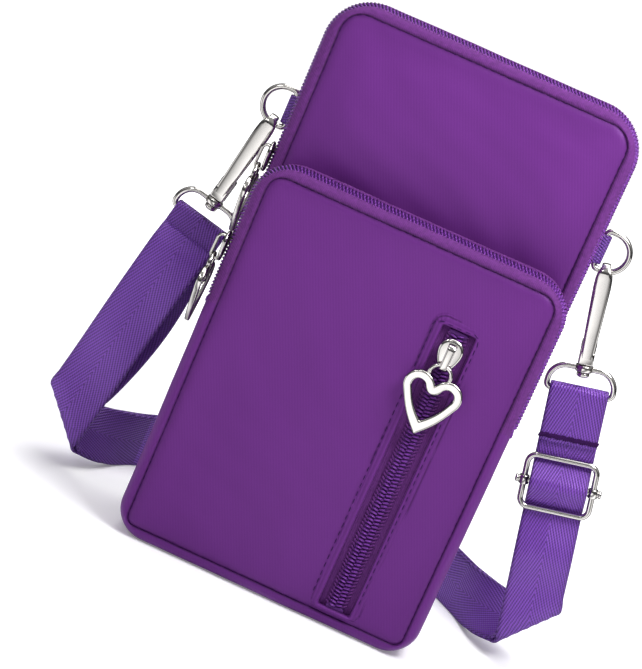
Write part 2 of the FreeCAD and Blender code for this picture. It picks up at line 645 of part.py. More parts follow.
# Flat strip drawn from (length, left turn in degrees) stretches, in any plane
def strip(moves, u, v, heading, inner, outer, place):
    def offset(points, gap):
        return [(p[0] - gap * math.sin(p[2]), p[1] + gap * math.cos(p[2]), p[2]) for p in points]

    stations = [(u, v, math.radians(heading))]
    bends = []
    for length, turn in moves:
        x, y, h = stations[-1]
        t = math.radians(turn)
        if turn:
            r = length / t
            mid_h = h + t / 2
            mid = (x + r * (math.sin(mid_h) - math.sin(h)), y - r * (math.cos(mid_h) - math.cos(h)), mid_h)
            end = (x + r * (math.sin(h + t) - math.sin(h)), y - r * (math.cos(h + t) - math.cos(h)), h + t)
        else:
            mid = None
            end = (x + length * math.cos(h), y + length * math.sin(h), h)
        stations.append(end)
        bends.append(mid)
    edges = []
    for gap in (inner, outer):
        line = [place(p[0], p[1]) for p in offset(stations, gap)]
        mids = [m and place(*offset([m], gap)[0][:2]) for m in bends]
        for a, m, b in zip(line[:-1], mids, line[1:]):
            edges.append((Part.Arc(a, m, b) if m else Part.LineSegment(a, b)).toShape())
    first = [place(p[0], p[1]) for p in offset([stations[0]], inner) + offset([stations[0]], outer)]
    last = [place(p[0], p[1]) for p in offset([stations[-1]], inner) + offset([stations[-1]], outer)]
    edges.append(Part.LineSegment(first[0], first[1]).toShape())
    edges.append(Part.LineSegment(last[0], last[1]).toShape())
    wire = Part.Wire(Part.sortEdges(edges)[0])
    return Part.Face(wire), stations[-1]


def cross_strip(moves, y, z, heading, thick):
    # webbing that bends in the YZ plane and is STRAP_WIDE along X, upright at x = 0
    face, end = strip(
        moves, y, z, heading, -thick / 2, thick / 2, lambda a, b: Vector(-STRAP_WIDE / 2, a, b)
    )
    return face.extrude(Vector(STRAP_WIDE, 0, 0)), end


def to_clip(shape, side):
    # from the upright clip frame to the leaning clip on one side of the pouch
    placed = shape.copy()
    placed.rotate(Vector(0, 0, 0), Vector(0, 1, 0), -LEAN)
    placed.translate(Vector(hook_x, CLIP_Y, hook_z))
    if side < 0:
        placed = placed.mirror(Vector(0, 0, 0), Vector(1, 0, 0))
    return placed


def clip_point(x, y, z, side):
    a = math.radians(LEAN)
    gx = hook_x + x * math.cos(a) - z * math.sin(a)
    gz = hook_z + x * math.sin(a) + z * math.cos(a)
    return Vector(side * gx, CLIP_Y + y, gz)


right_tab = tab()
right_d_ring = d_ring()
for side, name in ((1, "right"), (-1, "left")):
    flip = (lambda s: s) if side > 0 else (lambda s: s.mirror(Vector(0, 0, 0), Vector(1, 0, 0)))
    parts[name + "_tab"] = flip(right_tab)
    parts[name + "_d_ring"] = flip(right_d_ring)
    parts[name + "_hook_body"] = to_clip(hook_body(), side)
    parts[name + "_hook_gate"] = to_clip(gate(), side)
    parts[name + "_gate_pin"] = to_clip(gate_pin(), side)
    parts[name + "_gate_spring"] = to_clip(gate_spring(), side)
    parts[name + "_strap_ring"] = to_clip(strap_ring(), side)
    rear_tape = rear_tape.cut(parts[name + "_tab"])
parts["main_zip_tape_rear"] = rear_tape

# Webbing over the left ring and the sewn end on the right ring
fold_r = WIRE_R + FOLD_CLEAR + STRAP_THICK / 2
half_turn = (math.pi * fold_r, 180.0)
left_fold, _ = cross_strip(
    [(FOLD_LEG, 0), half_turn, (FOLD_LEG, 0)], fold_r, bar_z - FOLD_LEG, 90, STRAP_THICK
)
parts["strap_left_fold"] = to_clip(left_fold, -1)
buckle_z = bar_z - BUCKLE_DROP
tie_z = buckle_z + BUCKLE_HALF_Z - THREAD_OVERLAP + FOLD_MEET
return_turn = math.degrees(math.asin((2 * fold_r - STRAP_THICK - FOLD_CLEAR) / RETURN_LONG))
right_end, _ = cross_strip(
    [(bar_z - tie_z, 0), half_turn, (WIRE_R, return_turn), (RETURN_LONG, 0)],
    fold_r, tie_z, 90, STRAP_THICK
)
parts["strap_right_end"] = to_clip(right_end, 1)

# Wire buckle with a loose centre bar, the webbing over the bar and the sewn inner end
frame_path = rounded_wire(BUCKLE_HALF_X, buckle_z - BUCKLE_HALF_Z, buckle_z + BUCKLE_HALF_Z, BUCKLE_CORNER_R)
frame = pipe(frame_path, WIRE_R, Vector(0, 0, buckle_z + BUCKLE_HALF_Z), Vector(1, 0, 0))
parts["buckle_frame"] = to_clip(frame, 1)
rod = Part.makeCylinder(
    WIRE_R, 2 * BUCKLE_HALF_X + 2 * BUTTON_REACH,
    Vector(-BUCKLE_HALF_X - BUTTON_REACH, 0, buckle_z), Vector(1, 0, 0)
)
pieces = [rod]
for s in (-1, 1):
    at = Vector(s * BUCKLE_HALF_X, 0, buckle_z - SLEEVE_LONG / 2)
    pieces.append(Part.makeCylinder(SLEEVE_R, SLEEVE_LONG, at))
    button = Vector(s * (BUCKLE_HALF_X + BUTTON_REACH - BUTTON_LONG / 2) - BUTTON_LONG / 2, 0, buckle_z)
    pieces.append(Part.makeCylinder(BUTTON_R, BUTTON_LONG, button, Vector(1, 0, 0)))
centre_bar = fuse(pieces)
for s in (-1, 1):
    at = Vector(s * BUCKLE_HALF_X, 0, buckle_z - 2 * SLEEVE_LONG)
    centre_bar = centre_bar.cut(Part.makeCylinder(WIRE_R + SLEEVE_CLEAR, 4 * SLEEVE_LONG, at))
parts["buckle_bar"] = to_clip(centre_bar, 1)
end_r = WIRE_R + FOLD_CLEAR + STRAP_THICK / 2
inner_end, inner_tail = cross_strip(
    [(math.radians(INNER_WRAP) * end_r, -INNER_WRAP), (INNER_TAIL, 0.0)], -end_r, buckle_z, 90, STRAP_THICK
)
parts["strap_inner_end"] = to_clip(inner_end, 1)
over_r = end_r + STRAP_THICK + FOLD_CLEAR
# slope at which the webbing leaves the bar so that it passes behind the top and bottom wires
half_open = BUCKLE_HALF_Z - THREAD_OVERLAP
turn_in = math.asin(over_r / math.hypot(half_open, fold_r)) + math.atan2(fold_r, half_open)
slope = math.degrees(turn_in)
slant = (half_open - over_r * math.sin(turn_in)) / math.cos(turn_in)
over = [(slant, 0.0), (2 * turn_in * over_r, 2 * slope), (slant, 0.0)]
over_y = -over_r * math.cos(turn_in) + slant * math.sin(turn_in)
over_z = buckle_z + over_r * math.sin(turn_in) + slant * math.cos(turn_in)
over_fold, _ = cross_strip(over, over_y, over_z, 270 - slope, STRAP_THICK)
parts["strap_buckle_fold"] = to_clip(over_fold, 1)


# Webbing standing on edge behind the pouch, two layers side by side
def back_route():
    # the last straight behind the pouch and the last run are as long as the right foot needs
    def flat(a, b):
        return Vector(a, b, 0)

    foot = (-FOOT_X, FOOT_Y, FOOT_HEADING)
    h = math.radians(FOOT_HEADING)
    _, corner = strip(list(BACK_ROUTE) + [BACK_CORNER], *foot, 0, STRAP_THICK, flat)
    turn = -FOOT_HEADING - math.degrees(corner[2])
    arc = (abs(math.radians(turn)) * BACK_ROUTE_END_R, turn)
    _, after = strip(list(BACK_ROUTE) + [BACK_CORNER, arc], *foot, 0, STRAP_THICK, flat)
    last_run = (after[1] - FOOT_Y) / math.sin(h)
    straight = FOOT_X - last_run * math.cos(h) - after[0]
    return list(BACK_ROUTE) + [(straight, 0.0), BACK_CORNER, arc, (last_run, 0.0)], foot


def edge_layer(gap):
    moves, foot = back_route()
    face, _ = strip(
        moves, *foot, gap - STRAP_THICK / 2, gap + STRAP_THICK / 2,
        lambda a, b: Vector(a, b, 0)
    )
    return face.extrude(Vector(0, 0, STRAP_WIDE))


parts["strap_back_outer"] = edge_layer(STRAP_SPACING / 2)
parts["strap_back_inner"] = edge_layer(-STRAP_SPACING / 2)


# Hanging runs: the webbing hangs straight, folds on a slant near the table and stands up on its edge
def bezier(p, t):
    s = 1 - t
    return p[0] * s ** 3 + p[1] * (3 * s * s * t) + p[2] * (3 * s * t * t) + p[3] * t ** 3


def triangle(a, b, c):
    return Part.Face(Part.makePolygon([a, b, c, a]))


def faceted(sections):
    # closed solid of triangles between sections, each a row of front points and a row of back points
    rings = [front + back[::-1] for front, back in sections]
    faces = []
    for low, high in zip(rings[:-1], rings[1:]):
        for i in range(len(low)):
            j = (i + 1) % len(low)
            faces.append(triangle(low[i], low[j], high[j]))
            faces.append(triangle(low[i], high[j], high[i]))
    for front, back in (sections[0], sections[-1]):
        for i in range(len(front) - 1):
            faces.append(triangle(front[i], front[i + 1], back[i + 1]))
            faces.append(triangle(front[i], back[i + 1], back[i]))
    solid = Part.makeSolid(Part.makeShell(faces))
    if solid.Volume < 0:
        solid.reverse()
    return solid


def slant(side):
    # directions of a hanging run: down, across, along its fold line and square to that line
    a = math.radians(LEAN)
    down = Vector(side * math.sin(a), 0, -math.cos(a))
    across = Vector(side * math.cos(a), 0, math.sin(a))
    line = down + Vector(-side, 0, 0)
    line.normalize()
    square = down - line * down.dot(line)
    square.normalize()
    return down, across, line, square


def fold_point(side, knee, s, u):
    # point and outward normal of webbing wrapped round a slanted knee, s below the knee and u across
    down, across, line, square = slant(side)
    along = s * down.dot(line) + u * across.dot(line)
    beyond = s * down.dot(square) + u * across.dot(square)
    turn = min(max(beyond / KNEE_R, 0), math.radians(KNEE_TURN))
    back = Vector(0, 1, 0)
    ahead = square * math.cos(turn) + back * math.sin(turn)
    wrap = square * math.sin(turn) + back * (1 - math.cos(turn))
    point = knee + line * along + wrap * KNEE_R + ahead * (beyond - turn * KNEE_R)
    return point, square * math.sin(turn) - back * math.cos(turn)


def run(side, start_y, start_z, gap_top, gap_foot, bulge, lead_z):
    # one layer of a hanging run, held off the middle surface by a gap that changes from top to foot
    start = clip_point(0, start_y, start_z, side)
    down, across, _, square = slant(side)
    drop = (KNEE_Z - start.z) / down.z
    knee = start + down * drop
    spread = STRAP_WIDE / 2 * across.dot(square) / down.dot(square)
    bend_end = math.radians(KNEE_TURN) * KNEE_R / down.dot(square) + spread
    hang = [-drop + (drop - spread) * i / HANG_SECTIONS for i in range(HANG_SECTIONS)]
    if lead_z - start_z > BODY_GAP:
        hang.insert(0, -drop - (lead_z - start_z))
    bend = [-spread + (bend_end + spread) * i / KNEE_SECTIONS for i in range(KNEE_SECTIONS + 1)]
    places = [STRAP_WIDE * (i / STRAP_ACROSS - 0.5) for i in range(STRAP_ACROSS + 1)]
    half = STRAP_THICK / 2
    sections = []
    for s in hang + bend:
        k = min(max((s + drop) / (drop - spread), 0), 1)
        gap = gap_top + (gap_foot - gap_top) * k + bulge * math.sin(math.pi * k) ** 2
        row = [fold_point(side, knee, s, u) for u in places]
        sections.append(([p + n * (gap + half) for p, n in row], [p + n * (gap - half) for p, n in row]))
    h = math.radians(FOOT_HEADING)
    heading = Vector(-side * math.cos(h), math.sin(h), 0)
    foot = Vector(side * FOOT_X, FOOT_Y, STRAP_WIDE / 2) - heading * BODY_GAP
    after, _ = fold_point(side, knee, bend_end, 0)
    ahead = fold_point(side, knee, bend_end + 1, 0)[0] - after
    upward = fold_point(side, knee, bend_end, 1)[0] - after
    pull = (foot - after).Length / 3
    ctrl = [after, after + ahead * pull, foot - heading * pull, foot]
    for i in range(1, FOOT_SECTIONS + 1):
        t = i / FOOT_SECTIONS
        d = heading
        if i < FOOT_SECTIONS:
            d = bezier(ctrl, t + FOOT_STEP) - bezier(ctrl, t - FOOT_STEP)
            d.normalize()
        k = t * t * (3 - 2 * t)
        w = upward * (1 - k) + Vector(0, 0, 1) * k
        w = w - d * w.dot(d)
        w.normalize()
        n = d.cross(w) * side
        c = bezier(ctrl, t)
        sections.append((
            [c + w * u + n * (gap_foot + half) for u in places],
            [c + w * u + n * (gap_foot - half) for u in places],
        ))
    return faceted(sections)


layer = STRAP_SPACING / 2
leg_end = bar_z - FOLD_LEG - BODY_GAP
parts["strap_left_outer_run"] = run(-1, 0, leg_end, fold_r, layer, LAYER_BULGE, leg_end)
parts["strap_left_inner_run"] = run(-1, 0, leg_end, -fold_r, -layer, INNER_BULGE, leg_end)
run_top = buckle_z - half_open - FOLD_MEET
tail_gap = fold_r - inner_tail[0] - BODY_GAP
parts["strap_right_outer_run"] = run(1, fold_r, run_top, 0.0, layer, LAYER_BULGE, run_top)
tail_foot = inner_tail[1] - INNER_STEP
parts["strap_right_inner_run"] = run(1, fold_r, run_top, tail_gap, -layer, INNER_BULGE, tail_foot)

os.makedirs("parts", exist_ok=True)
for node, shape in parts.items():
    shape.exportStep("parts/" + node + ".step")
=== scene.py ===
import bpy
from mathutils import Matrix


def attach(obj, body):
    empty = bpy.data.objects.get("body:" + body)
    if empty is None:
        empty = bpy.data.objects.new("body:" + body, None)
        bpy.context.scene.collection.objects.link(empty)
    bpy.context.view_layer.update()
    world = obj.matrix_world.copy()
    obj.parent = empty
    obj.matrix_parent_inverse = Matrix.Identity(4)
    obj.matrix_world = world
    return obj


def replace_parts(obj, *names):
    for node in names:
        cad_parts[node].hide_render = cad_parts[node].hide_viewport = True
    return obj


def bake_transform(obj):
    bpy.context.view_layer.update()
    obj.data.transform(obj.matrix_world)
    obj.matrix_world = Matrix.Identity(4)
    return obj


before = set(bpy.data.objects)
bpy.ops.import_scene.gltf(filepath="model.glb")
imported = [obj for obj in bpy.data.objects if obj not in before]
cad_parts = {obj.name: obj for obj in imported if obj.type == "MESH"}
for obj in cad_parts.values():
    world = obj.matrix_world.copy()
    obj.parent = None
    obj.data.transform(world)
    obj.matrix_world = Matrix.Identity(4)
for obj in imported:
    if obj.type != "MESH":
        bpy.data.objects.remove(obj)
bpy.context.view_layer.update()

import math
from typing import NamedTuple

import bmesh
import bpy
import numpy as np
from bpy.props import FloatProperty, FloatVectorProperty, PointerProperty
from mathutils import Matrix, Vector

bl_info = {
    "name": "Phone pouch",
    "version": (1, 0, 0),
    "blender": (4, 5, 0),
    "location": "View3D > Sidebar > Pouch",
    "description": "Builds the zipped phone pouch, its strap and its stage on the packed frame",
    "category": "Add Mesh",
}

MM = 0.001
# Lengths below are millimetres in the frame of the CAD model
# Pouch: half width, depths of its faces, corner and edge radii, seams and cloth
HALF = 53.0
FRONT_Y = -28.5
SPLIT_Y = -11.5
BACK_Y = 11.5
BASE_R = 11.0
EDGE_R = 3.5
BACK_EDGE_R = 5.0
SEAM = 3.8
BACK_SEAM = 5.3
PANEL_OVERLAP = 0.1
TIGHT = 3.6
CLOTH = 0.7
BAND_WAVE = 0.12
STITCH_INSET = SEAM + 0.4
STITCH_DEPTH = 0.72
# Zips: reach of the teeth to each side, their way forward, and the welted zip's window
ZIP_REACH = 2.9
ZIP_FORWARD = 0.9
WELT_X = 24.5
WELT_HALF = 5.75
WELT_Z = (6.5, 107.5)
WELT_TAPE_Y = FRONT_Y + 1.6
# Sliders and hearts: length, bridge and plate thickness, loop wire, play, pull's reach, heart form
SLIDER_LONG = 10.5
BRIDGE = 0.9
SLIDER_PLATE = 1.35
LOOP_R = 0.65
PLAY = 0.1
PULL_REACH = 4.6
LOBE_R = 5.0
LOBE_X = 4.75
HEART_TIP = -20.0
HEART_BAR = 2.7
HEART_BOW = 0.75
HEART_DROP = 3.7
# Clips: D-ring, hook and strap ring, in a frame that leans outward
CLIP_Y = 8.5
LEAN = math.radians(12.5)
DRING_X = 55.2
DRING_ARC_X = 58.3
DRING_Z = 144.0
DRING_R = 6.5
HOOK_X = DRING_ARC_X + DRING_R * math.sin(LEAN)
HOOK_Z = DRING_Z - DRING_R * math.cos(LEAN)
GATE_AXIS = (0.0, 1.3, -24.8)
COLLAR_Z = -32.65
BAR_Z = -41.05
WIRE = 2.0
TAB_WIDE = 9.8
TAB_LONG = 5.2
TAB_R = 1.6
# Strap: folds over the bars, buckle, slanted knee near the table, route behind the pouch
FOLD_R = 1.8
FOLD_LONG = 9.3
BUCKLE_Z = BAR_Z - 32.5
BUCKLE_HALF = 9.0
KNEE_R = 3.5
KNEE_TURN = math.radians(115.0)
KNEE_Z = 21.0
FOOT = (62.5, 41.5)
FOOT_HEADING = 54.0
LAYER_GAP = 0.9
BULGE = 3.0
STRAP_MID_Z = 9.75
STRAP_LIFT = 95.0
OUTSIDE = (0.0, -1.0, 0.0)


class Compartment(NamedTuple):
    """One zipped compartment and the flap of its front that folds when the zip is open."""
    name: str
    flap: str
    front_y: float
    height: float
    top_r: float
    zip_y: float
    zip_end: float
    hinge_z: float
    hinge_half: float

    def top(self):
        return self.zip_end, self.height, self.top_r

    def base(self):
        return self.zip_end, 0.0, BASE_R


MAIN = Compartment(name="main", flap="main_flap", front_y=SPLIT_Y, height=188.0, top_r=15.0,
                   zip_y=-6.5, zip_end=117.0, hinge_z=140.0, hinge_half=4.5)
POCKET = Compartment(name="pocket", flap="pocket_lip", front_y=FRONT_Y, height=133.0, top_r=13.0,
                     zip_y=-23.5, zip_end=83.0, hinge_z=113.0, hinge_half=2.2)


# Settings that a user would change


def srgb(*rgb):
    """Linear colour from 8-bit values."""
    return [c / 12.92 if c <= 0.04045 else ((c + 0.055) / 1.055) ** 2.4
            for c in (v / 255 for v in rgb)]


def length(label, text, default):
    return FloatProperty(name=label, description=text, default=default, unit="LENGTH")


def colour(label, text, rgb):
    return FloatVectorProperty(name=label, description=text, subtype="COLOR", size=3,
                               min=0, max=1, default=srgb(*rgb))


class PouchSizes(bpy.types.PropertyGroup):
    strap_width: length("Strap width", "Width of the webbing", 0.0195)
    strap_thick: length("Strap thickness", "Thickness of the webbing", 0.0012)
    coil_pitch: length("Coil pitch", "Distance between zip teeth", 0.0012)
    stitch_pitch: length("Stitch pitch", "Distance between stitches", 0.0027)
    twill_pitch: length("Twill pitch", "Distance between the cloth's ribs", 0.0009)


class PouchColours(bpy.types.PropertyGroup):
    satin: colour("Satin", "Colour of the panels", (97, 43, 120))
    tape: colour("Zip tape", "Colour of the woven zip tape", (92, 39, 111))
    coil: colour("Coil", "Colour of the zip teeth", (106, 52, 138))
    webbing: colour("Webbing", "Colour of the strap", (111, 65, 163))
    lining: colour("Lining", "Colour of the inside", (58, 30, 78))
    thread: colour("Thread", "Colour of the stitches", (54, 22, 76))
    nickel: colour("Nickel", "Colour of the plated metal", (224, 221, 217))
    floor: colour("Table", "Colour of the table", (246, 246, 247))


def sizes():
    return bpy.context.scene.pouch_sizes


def strap_size():
    return sizes().strap_width / MM, sizes().strap_thick / MM


def rgba(value):
    return (*value, 1.0)


# Shader node groups


def link(tree, target, value):
    if isinstance(value, bpy.types.NodeSocket):
        tree.links.new(value, target)
    else:
        target.default_value = value


def add(tree, kind, settings=(), **inputs):
    """A node with its settings and inputs. An input is named, or numbered as in0, in1 and so on."""
    node = tree.nodes.new(kind)
    for key, value in dict(settings).items():
        setattr(node, key, value)
    for key, value in inputs.items():
        numbered = key.startswith("in") and key[2:].isdigit()
        link(tree, node.inputs[int(key[2:]) if numbered else key.replace("_", " ")], value)
    return node


def maths(tree, operation, a, b=0.0, c=0.0):
    return add(tree, "ShaderNodeMath", {"operation": operation}, in0=a, in1=b, in2=c).outputs[0]


def times_plus(tree, a, b, c):
    return maths(tree, "MULTIPLY_ADD", a, b, c)


def mix_colour(tree, factor, a, b, blend="MIX"):
    settings = {"data_type": "RGBA", "blend_type": blend}
    return add(tree, "ShaderNodeMix", settings, in0=factor, in6=a, in7=b).outputs[2]


def noise(tree, coord, scale, detail, **more):
    return add(tree, "ShaderNodeTexNoise", Vector=coord, Scale=scale, Detail=detail, **more).outputs[0]


def place_of(tree, kind="Object"):
    return add(tree, "ShaderNodeTexCoord").outputs[kind]


def shaded(tree, inp, shade):
    """The group's colour times a shade, darkened further by the painted shade each point carries."""
    # Painted shade: the colour darkens by up to 72 percent where a point's painted shade is 1.
    shade = maths(tree, "MULTIPLY", shade, times_plus(tree, inp["Seam"], -0.72, 1.0))
    grey = add(tree, "ShaderNodeCombineColor", in0=shade, in1=shade, in2=shade).outputs[0]
    return mix_colour(tree, 1.0, inp["Colour"], grey, "MULTIPLY")


def twill(tree, inp):
    """Ribbed satin cloth: fine slanting ribs, uneven dye, and painted shade in seam grooves and creases."""
    coord = place_of(tree)
    slope = (0, math.radians(24), 0)
    turned = add(tree, "ShaderNodeMapping", Vector=coord, Rotation=slope).outputs[0]
    scale = maths(tree, "DIVIDE", 0.314159, inp["Pitch"])
    ribs = add(tree, "ShaderNodeTexWave", {"bands_direction": "X"}, Vector=turned, Scale=scale,
               Distortion=0.6, Detail=1.0).outputs[1]
    fine = noise(tree, coord, 2600.0, 2.0)
    broad = noise(tree, coord, 38.0, 2.0)
    shade = times_plus(tree, ribs, 0.05, 0.95)
    shade = times_plus(tree, broad, 0.12, maths(tree, "SUBTRACT", shade, 0.06))
    return {"Colour": shaded(tree, inp, shade), "Roughness": times_plus(tree, broad, 0.10, 0.36),
            "Height": times_plus(tree, fine, 0.35, ribs)}


def woven(tree, inp):
    """Matte woven zip tape: a small plain weave with flecks."""
    coord = place_of(tree)
    warp = add(tree, "ShaderNodeTexWave", {"bands_direction": "DIAGONAL"}, Vector=coord, Scale=760.0,
               Distortion=2.5, Detail=2.0).outputs[1]
    fleck = noise(tree, coord, 820.0, 3.0, Roughness=0.75)
    height = times_plus(tree, warp, 0.25, fleck)
    return {"Colour": shaded(tree, inp, times_plus(tree, height, 1.0, 0.38)), "Height": height}


def herringbone(tree, inp):
    """Herringbone webbing laid out on the weave coordinates, metres across and along."""
    uv = add(tree, "ShaderNodeUVMap", {"uv_map": "weave"}).outputs[0]
    across, along, _ = add(tree, "ShaderNodeSeparateXYZ", Vector=uv).outputs
    pick_pitch = 0.0011
    zigzag = maths(tree, "PINGPONG", across, inp["Band"])
    slanted = times_plus(tree, zigzag, 2.6, along)
    turns = maths(tree, "DIVIDE", maths(tree, "MULTIPLY", slanted, math.tau), inp["Pitch"])
    ribs = times_plus(tree, maths(tree, "SINE", turns), 0.5, 0.5)
    crossed = maths(tree, "SUBTRACT", along, zigzag)
    picks = maths(tree, "SINE", maths(tree, "MULTIPLY", crossed, math.tau / pick_pitch))
    height = times_plus(tree, picks, 0.2, ribs)
    fuzz = noise(tree, uv, 900.0, 3.0)
    shade = times_plus(tree, fuzz, 0.22, times_plus(tree, height, 0.82, 0.38))
    return {"Colour": shaded(tree, inp, shade), "Roughness": times_plus(tree, ribs, -0.2, 0.5),
            "Height": times_plus(tree, fuzz, 0.3, height)}


def plating(tree, inp):
    """Bright plating: faint casting waves and smudged gloss."""
    coord = place_of(tree)
    smudge = noise(tree, coord, 220.0, 3.0)
    waves = noise(tree, coord, 420.0, 1.0)
    dull = maths(tree, "MULTIPLY", smudge, 0.25)
    return {"Colour": mix_colour(tree, dull, inp["Colour"], (0.55, 0.53, 0.51, 1)),
            "Roughness": times_plus(tree, smudge, 0.16, 0.05), "Height": waves}


GROUPS = {
    "SatinTwill": (twill, {"Colour": (0.2, 0.05, 0.3, 1), "Pitch": 0.0009, "Seam": 0.0}),
    "WovenTape": (woven, {"Colour": (0.3, 0.08, 0.4, 1), "Seam": 0.0}),
    "Herringbone": (herringbone, {"Colour": (0.2, 0.1, 0.4, 1), "Band": 0.00975, "Pitch": 0.0025,
                                  "Seam": 0.0}),
    "Plating": (plating, {"Colour": (0.8, 0.8, 0.8, 1)}),
}


def node_group(name):
    """A node group by its name. Its function turns inputs into outputs, by label."""
    if name in bpy.data.node_groups:
        return bpy.data.node_groups[name]
    fill, inputs = GROUPS[name]
    tree = bpy.data.node_groups.new(name, "ShaderNodeTree")

    def socket(label, way):
        kind = "NodeSocketColor" if label == "Colour" else "NodeSocketFloat"
        return tree.interface.new_socket(name=label, in_out=way, socket_type=kind)

    for label, default in inputs.items():
        socket(label, "INPUT").default_value = default
    made = fill(tree, tree.nodes.new("NodeGroupInput").outputs)
    for label in made:
        socket(label, "OUTPUT")
    out = tree.nodes.new("NodeGroupOutput").inputs
    for label, value in made.items():
        tree.links.new(value, out[label])
    return tree


class Look(NamedTuple):
    """A material's node group, colour setting, slot, bump strength over metres, shader inputs."""
    group: str
    colour: str
    slot: str
    bump: float
    distance: float
    shader: dict


def tints(**rgb):
    return {key.replace("_", " "): rgba(srgb(*value)) for key, value in rgb.items()}


LOOKS = {
    "SatinNylon": Look("SatinTwill", "satin", "satin_nylon", 0.09, 0.0002, {
        "Sheen Weight": 0.15, "Sheen Roughness": 0.3, "Specular IOR Level": 0.3,
        **tints(Sheen_Tint=(200, 120, 235), Specular_Tint=(215, 160, 240))}),
    "ZipTape": Look("WovenTape", "tape", "zip_tape", 0.35, 0.0003, {
        "Roughness": 0.75, "Sheen Weight": 0.15, "Sheen Roughness": 0.5, "Specular IOR Level": 0.2,
        **tints(Sheen_Tint=(215, 140, 235))}),
    "Webbing": Look("Herringbone", "webbing", "webbing", 0.5, 0.0003, {
        "Sheen Weight": 0.2, "Sheen Roughness": 0.3, "Specular IOR Level": 0.9,
        **tints(Sheen_Tint=(200, 150, 245), Specular_Tint=(215, 175, 255))}),
    "Lining": Look("WovenTape", "lining", "lining", 0.2, 0.0002, {"Roughness": 0.8}),
    "Thread": Look("WovenTape", "thread", "satin_nylon", 0.2, 0.0001, {
        "Roughness": 0.8, "Specular IOR Level": 0.1}),
    "CoilNylon": Look("WovenTape", "coil", "zip_coil", 0.08, 0.0001, {
        "Roughness": 0.36, "Specular IOR Level": 0.5, **tints(Specular_Tint=(205, 150, 240))}),
    "BrightNickel": Look("Plating", "nickel", "nickel", 0.03, 0.0003, {
        "Metallic": 1.0, "Specular IOR Level": 0.6, "Specular Tint": (0.25, 0.24, 0.23, 1)}),
}


def material(name):
    """A material by its name. Its detail comes from one node group."""
    if name in bpy.data.materials:
        return bpy.data.materials[name]
    look = LOOKS[name]
    mat = bpy.data.materials.new(name)
    mat.use_nodes = True
    tree = mat.node_tree
    bsdf = tree.nodes["Principled BSDF"]
    detail = add(tree, "ShaderNodeGroup", {"node_tree": node_group(look.group)})
    detail.inputs["Colour"].default_value = rgba(getattr(bpy.context.scene.pouch_colours, look.colour))
    if name == "SatinNylon":
        detail.inputs["Pitch"].default_value = sizes().twill_pitch
    # Painted shade per point, read from the mesh, darkens the group's colour.
    if "Seam" in detail.inputs:
        seam = add(tree, "ShaderNodeAttribute", {"attribute_name": "seam"})
        tree.links.new(seam.outputs["Fac"], detail.inputs["Seam"])
    base = detail.outputs["Colour"]
    # Painted reflection: the plating's colour darkens towards its outline, standing for dark surroundings
    # seen in it.
    if name == "BrightNickel":
        edge = add(tree, "ShaderNodeLayerWeight", Blend=0.5).outputs["Facing"]
        base = mix_colour(tree, maths(tree, "POWER", edge, 1.9), base, (0.10, 0.09, 0.085, 1))
    tree.links.new(base, bsdf.inputs["Base Color"])
    if "Roughness" in detail.outputs:
        tree.links.new(detail.outputs["Roughness"], bsdf.inputs["Roughness"])
    height = add(tree, "ShaderNodeBump", Strength=look.bump, Distance=look.distance,
                 Height=detail.outputs["Height"])
    tree.links.new(height.outputs[0], bsdf.inputs["Normal"])
    for key, value in look.shader.items():
        bsdf.inputs[key].default_value = value
    return mat


# Mesh helpers, all in millimetres


class Shape:
    """Points, faces and their painted shade and weave coordinates, joined from several forms. The painted
    shade darkens seam grooves, cloth under and between zip teeth, and webbing layers in shadow.
    """

    def __init__(self):
        self.points, self.faces, self.seam, self.weave = [], [], [], []

    def add(self, points, faces, seam=0.0, weave=(0.0, 0.0), at=(0.0, 0.0, 0.0)):
        start, count = len(self.points), len(points)
        self.points.extend((np.asarray(points, float) + at).tolist())
        self.faces.extend([tuple(i + start for i in face) for face in faces])
        self.seam.extend(np.broadcast_to(seam, count).tolist())
        self.weave.extend(np.broadcast_to(weave, (count, 2)).tolist())
        return self

    def object(self, name, look, place=None):
        points = np.array(self.points)
        if place is not None:
            points = place(points)
        mesh = bpy.data.meshes.new(name)
        mesh.from_pydata((points * MM).tolist(), [], self.faces)
        # The painted shade goes to a point attribute that the materials read.
        if any(self.seam):
            mesh.attributes.new("seam", "FLOAT", "POINT").data.foreach_set("value", self.seam)
        weave = np.array(self.weave)
        if weave.any():
            layer = mesh.uv_layers.new(name="weave")
            index = np.empty(len(mesh.loops), int)
            mesh.loops.foreach_get("vertex_index", index)
            layer.data.foreach_set("uv", (weave[index] * MM).ravel())
        tool = bmesh.new()
        tool.from_mesh(mesh)
        bmesh.ops.recalc_face_normals(tool, faces=tool.faces)
        tool.to_mesh(mesh)
        tool.free()
        mesh.materials.append(material(look))
        mesh.shade_smooth()
        mesh.set_sharp_from_angle(angle=math.radians(66))
        obj = bpy.data.objects.new(name, mesh)
        bpy.context.scene.collection.objects.link(obj)
        return obj


def unit(v):
    return v / np.linalg.norm(v, axis=-1, keepdims=True)


def smooth(t):
    t = np.clip(t, 0, 1)
    return t * t * (3 - 2 * t)


def distances(path):
    """Distance along a path at each of its points."""
    return np.concatenate([[0], np.cumsum(np.linalg.norm(np.diff(path, axis=0), axis=1))])


def upright(xz, y=0.0):
    """Points of a plane that faces the front, at depth y."""
    return np.stack([xz[:, 0], np.broadcast_to(y, len(xz)), xz[:, 1]], 1)


def grid(rows, cols, wrap_rows=False, wrap_cols=False):
    faces = []
    for i in range(rows if wrap_rows else rows - 1):
        for j in range(cols if wrap_cols else cols - 1):
            a, b = (i + 1) % rows, (j + 1) % cols
            faces.append((i * cols + j, i * cols + b, a * cols + b, a * cols + j))
    return faces


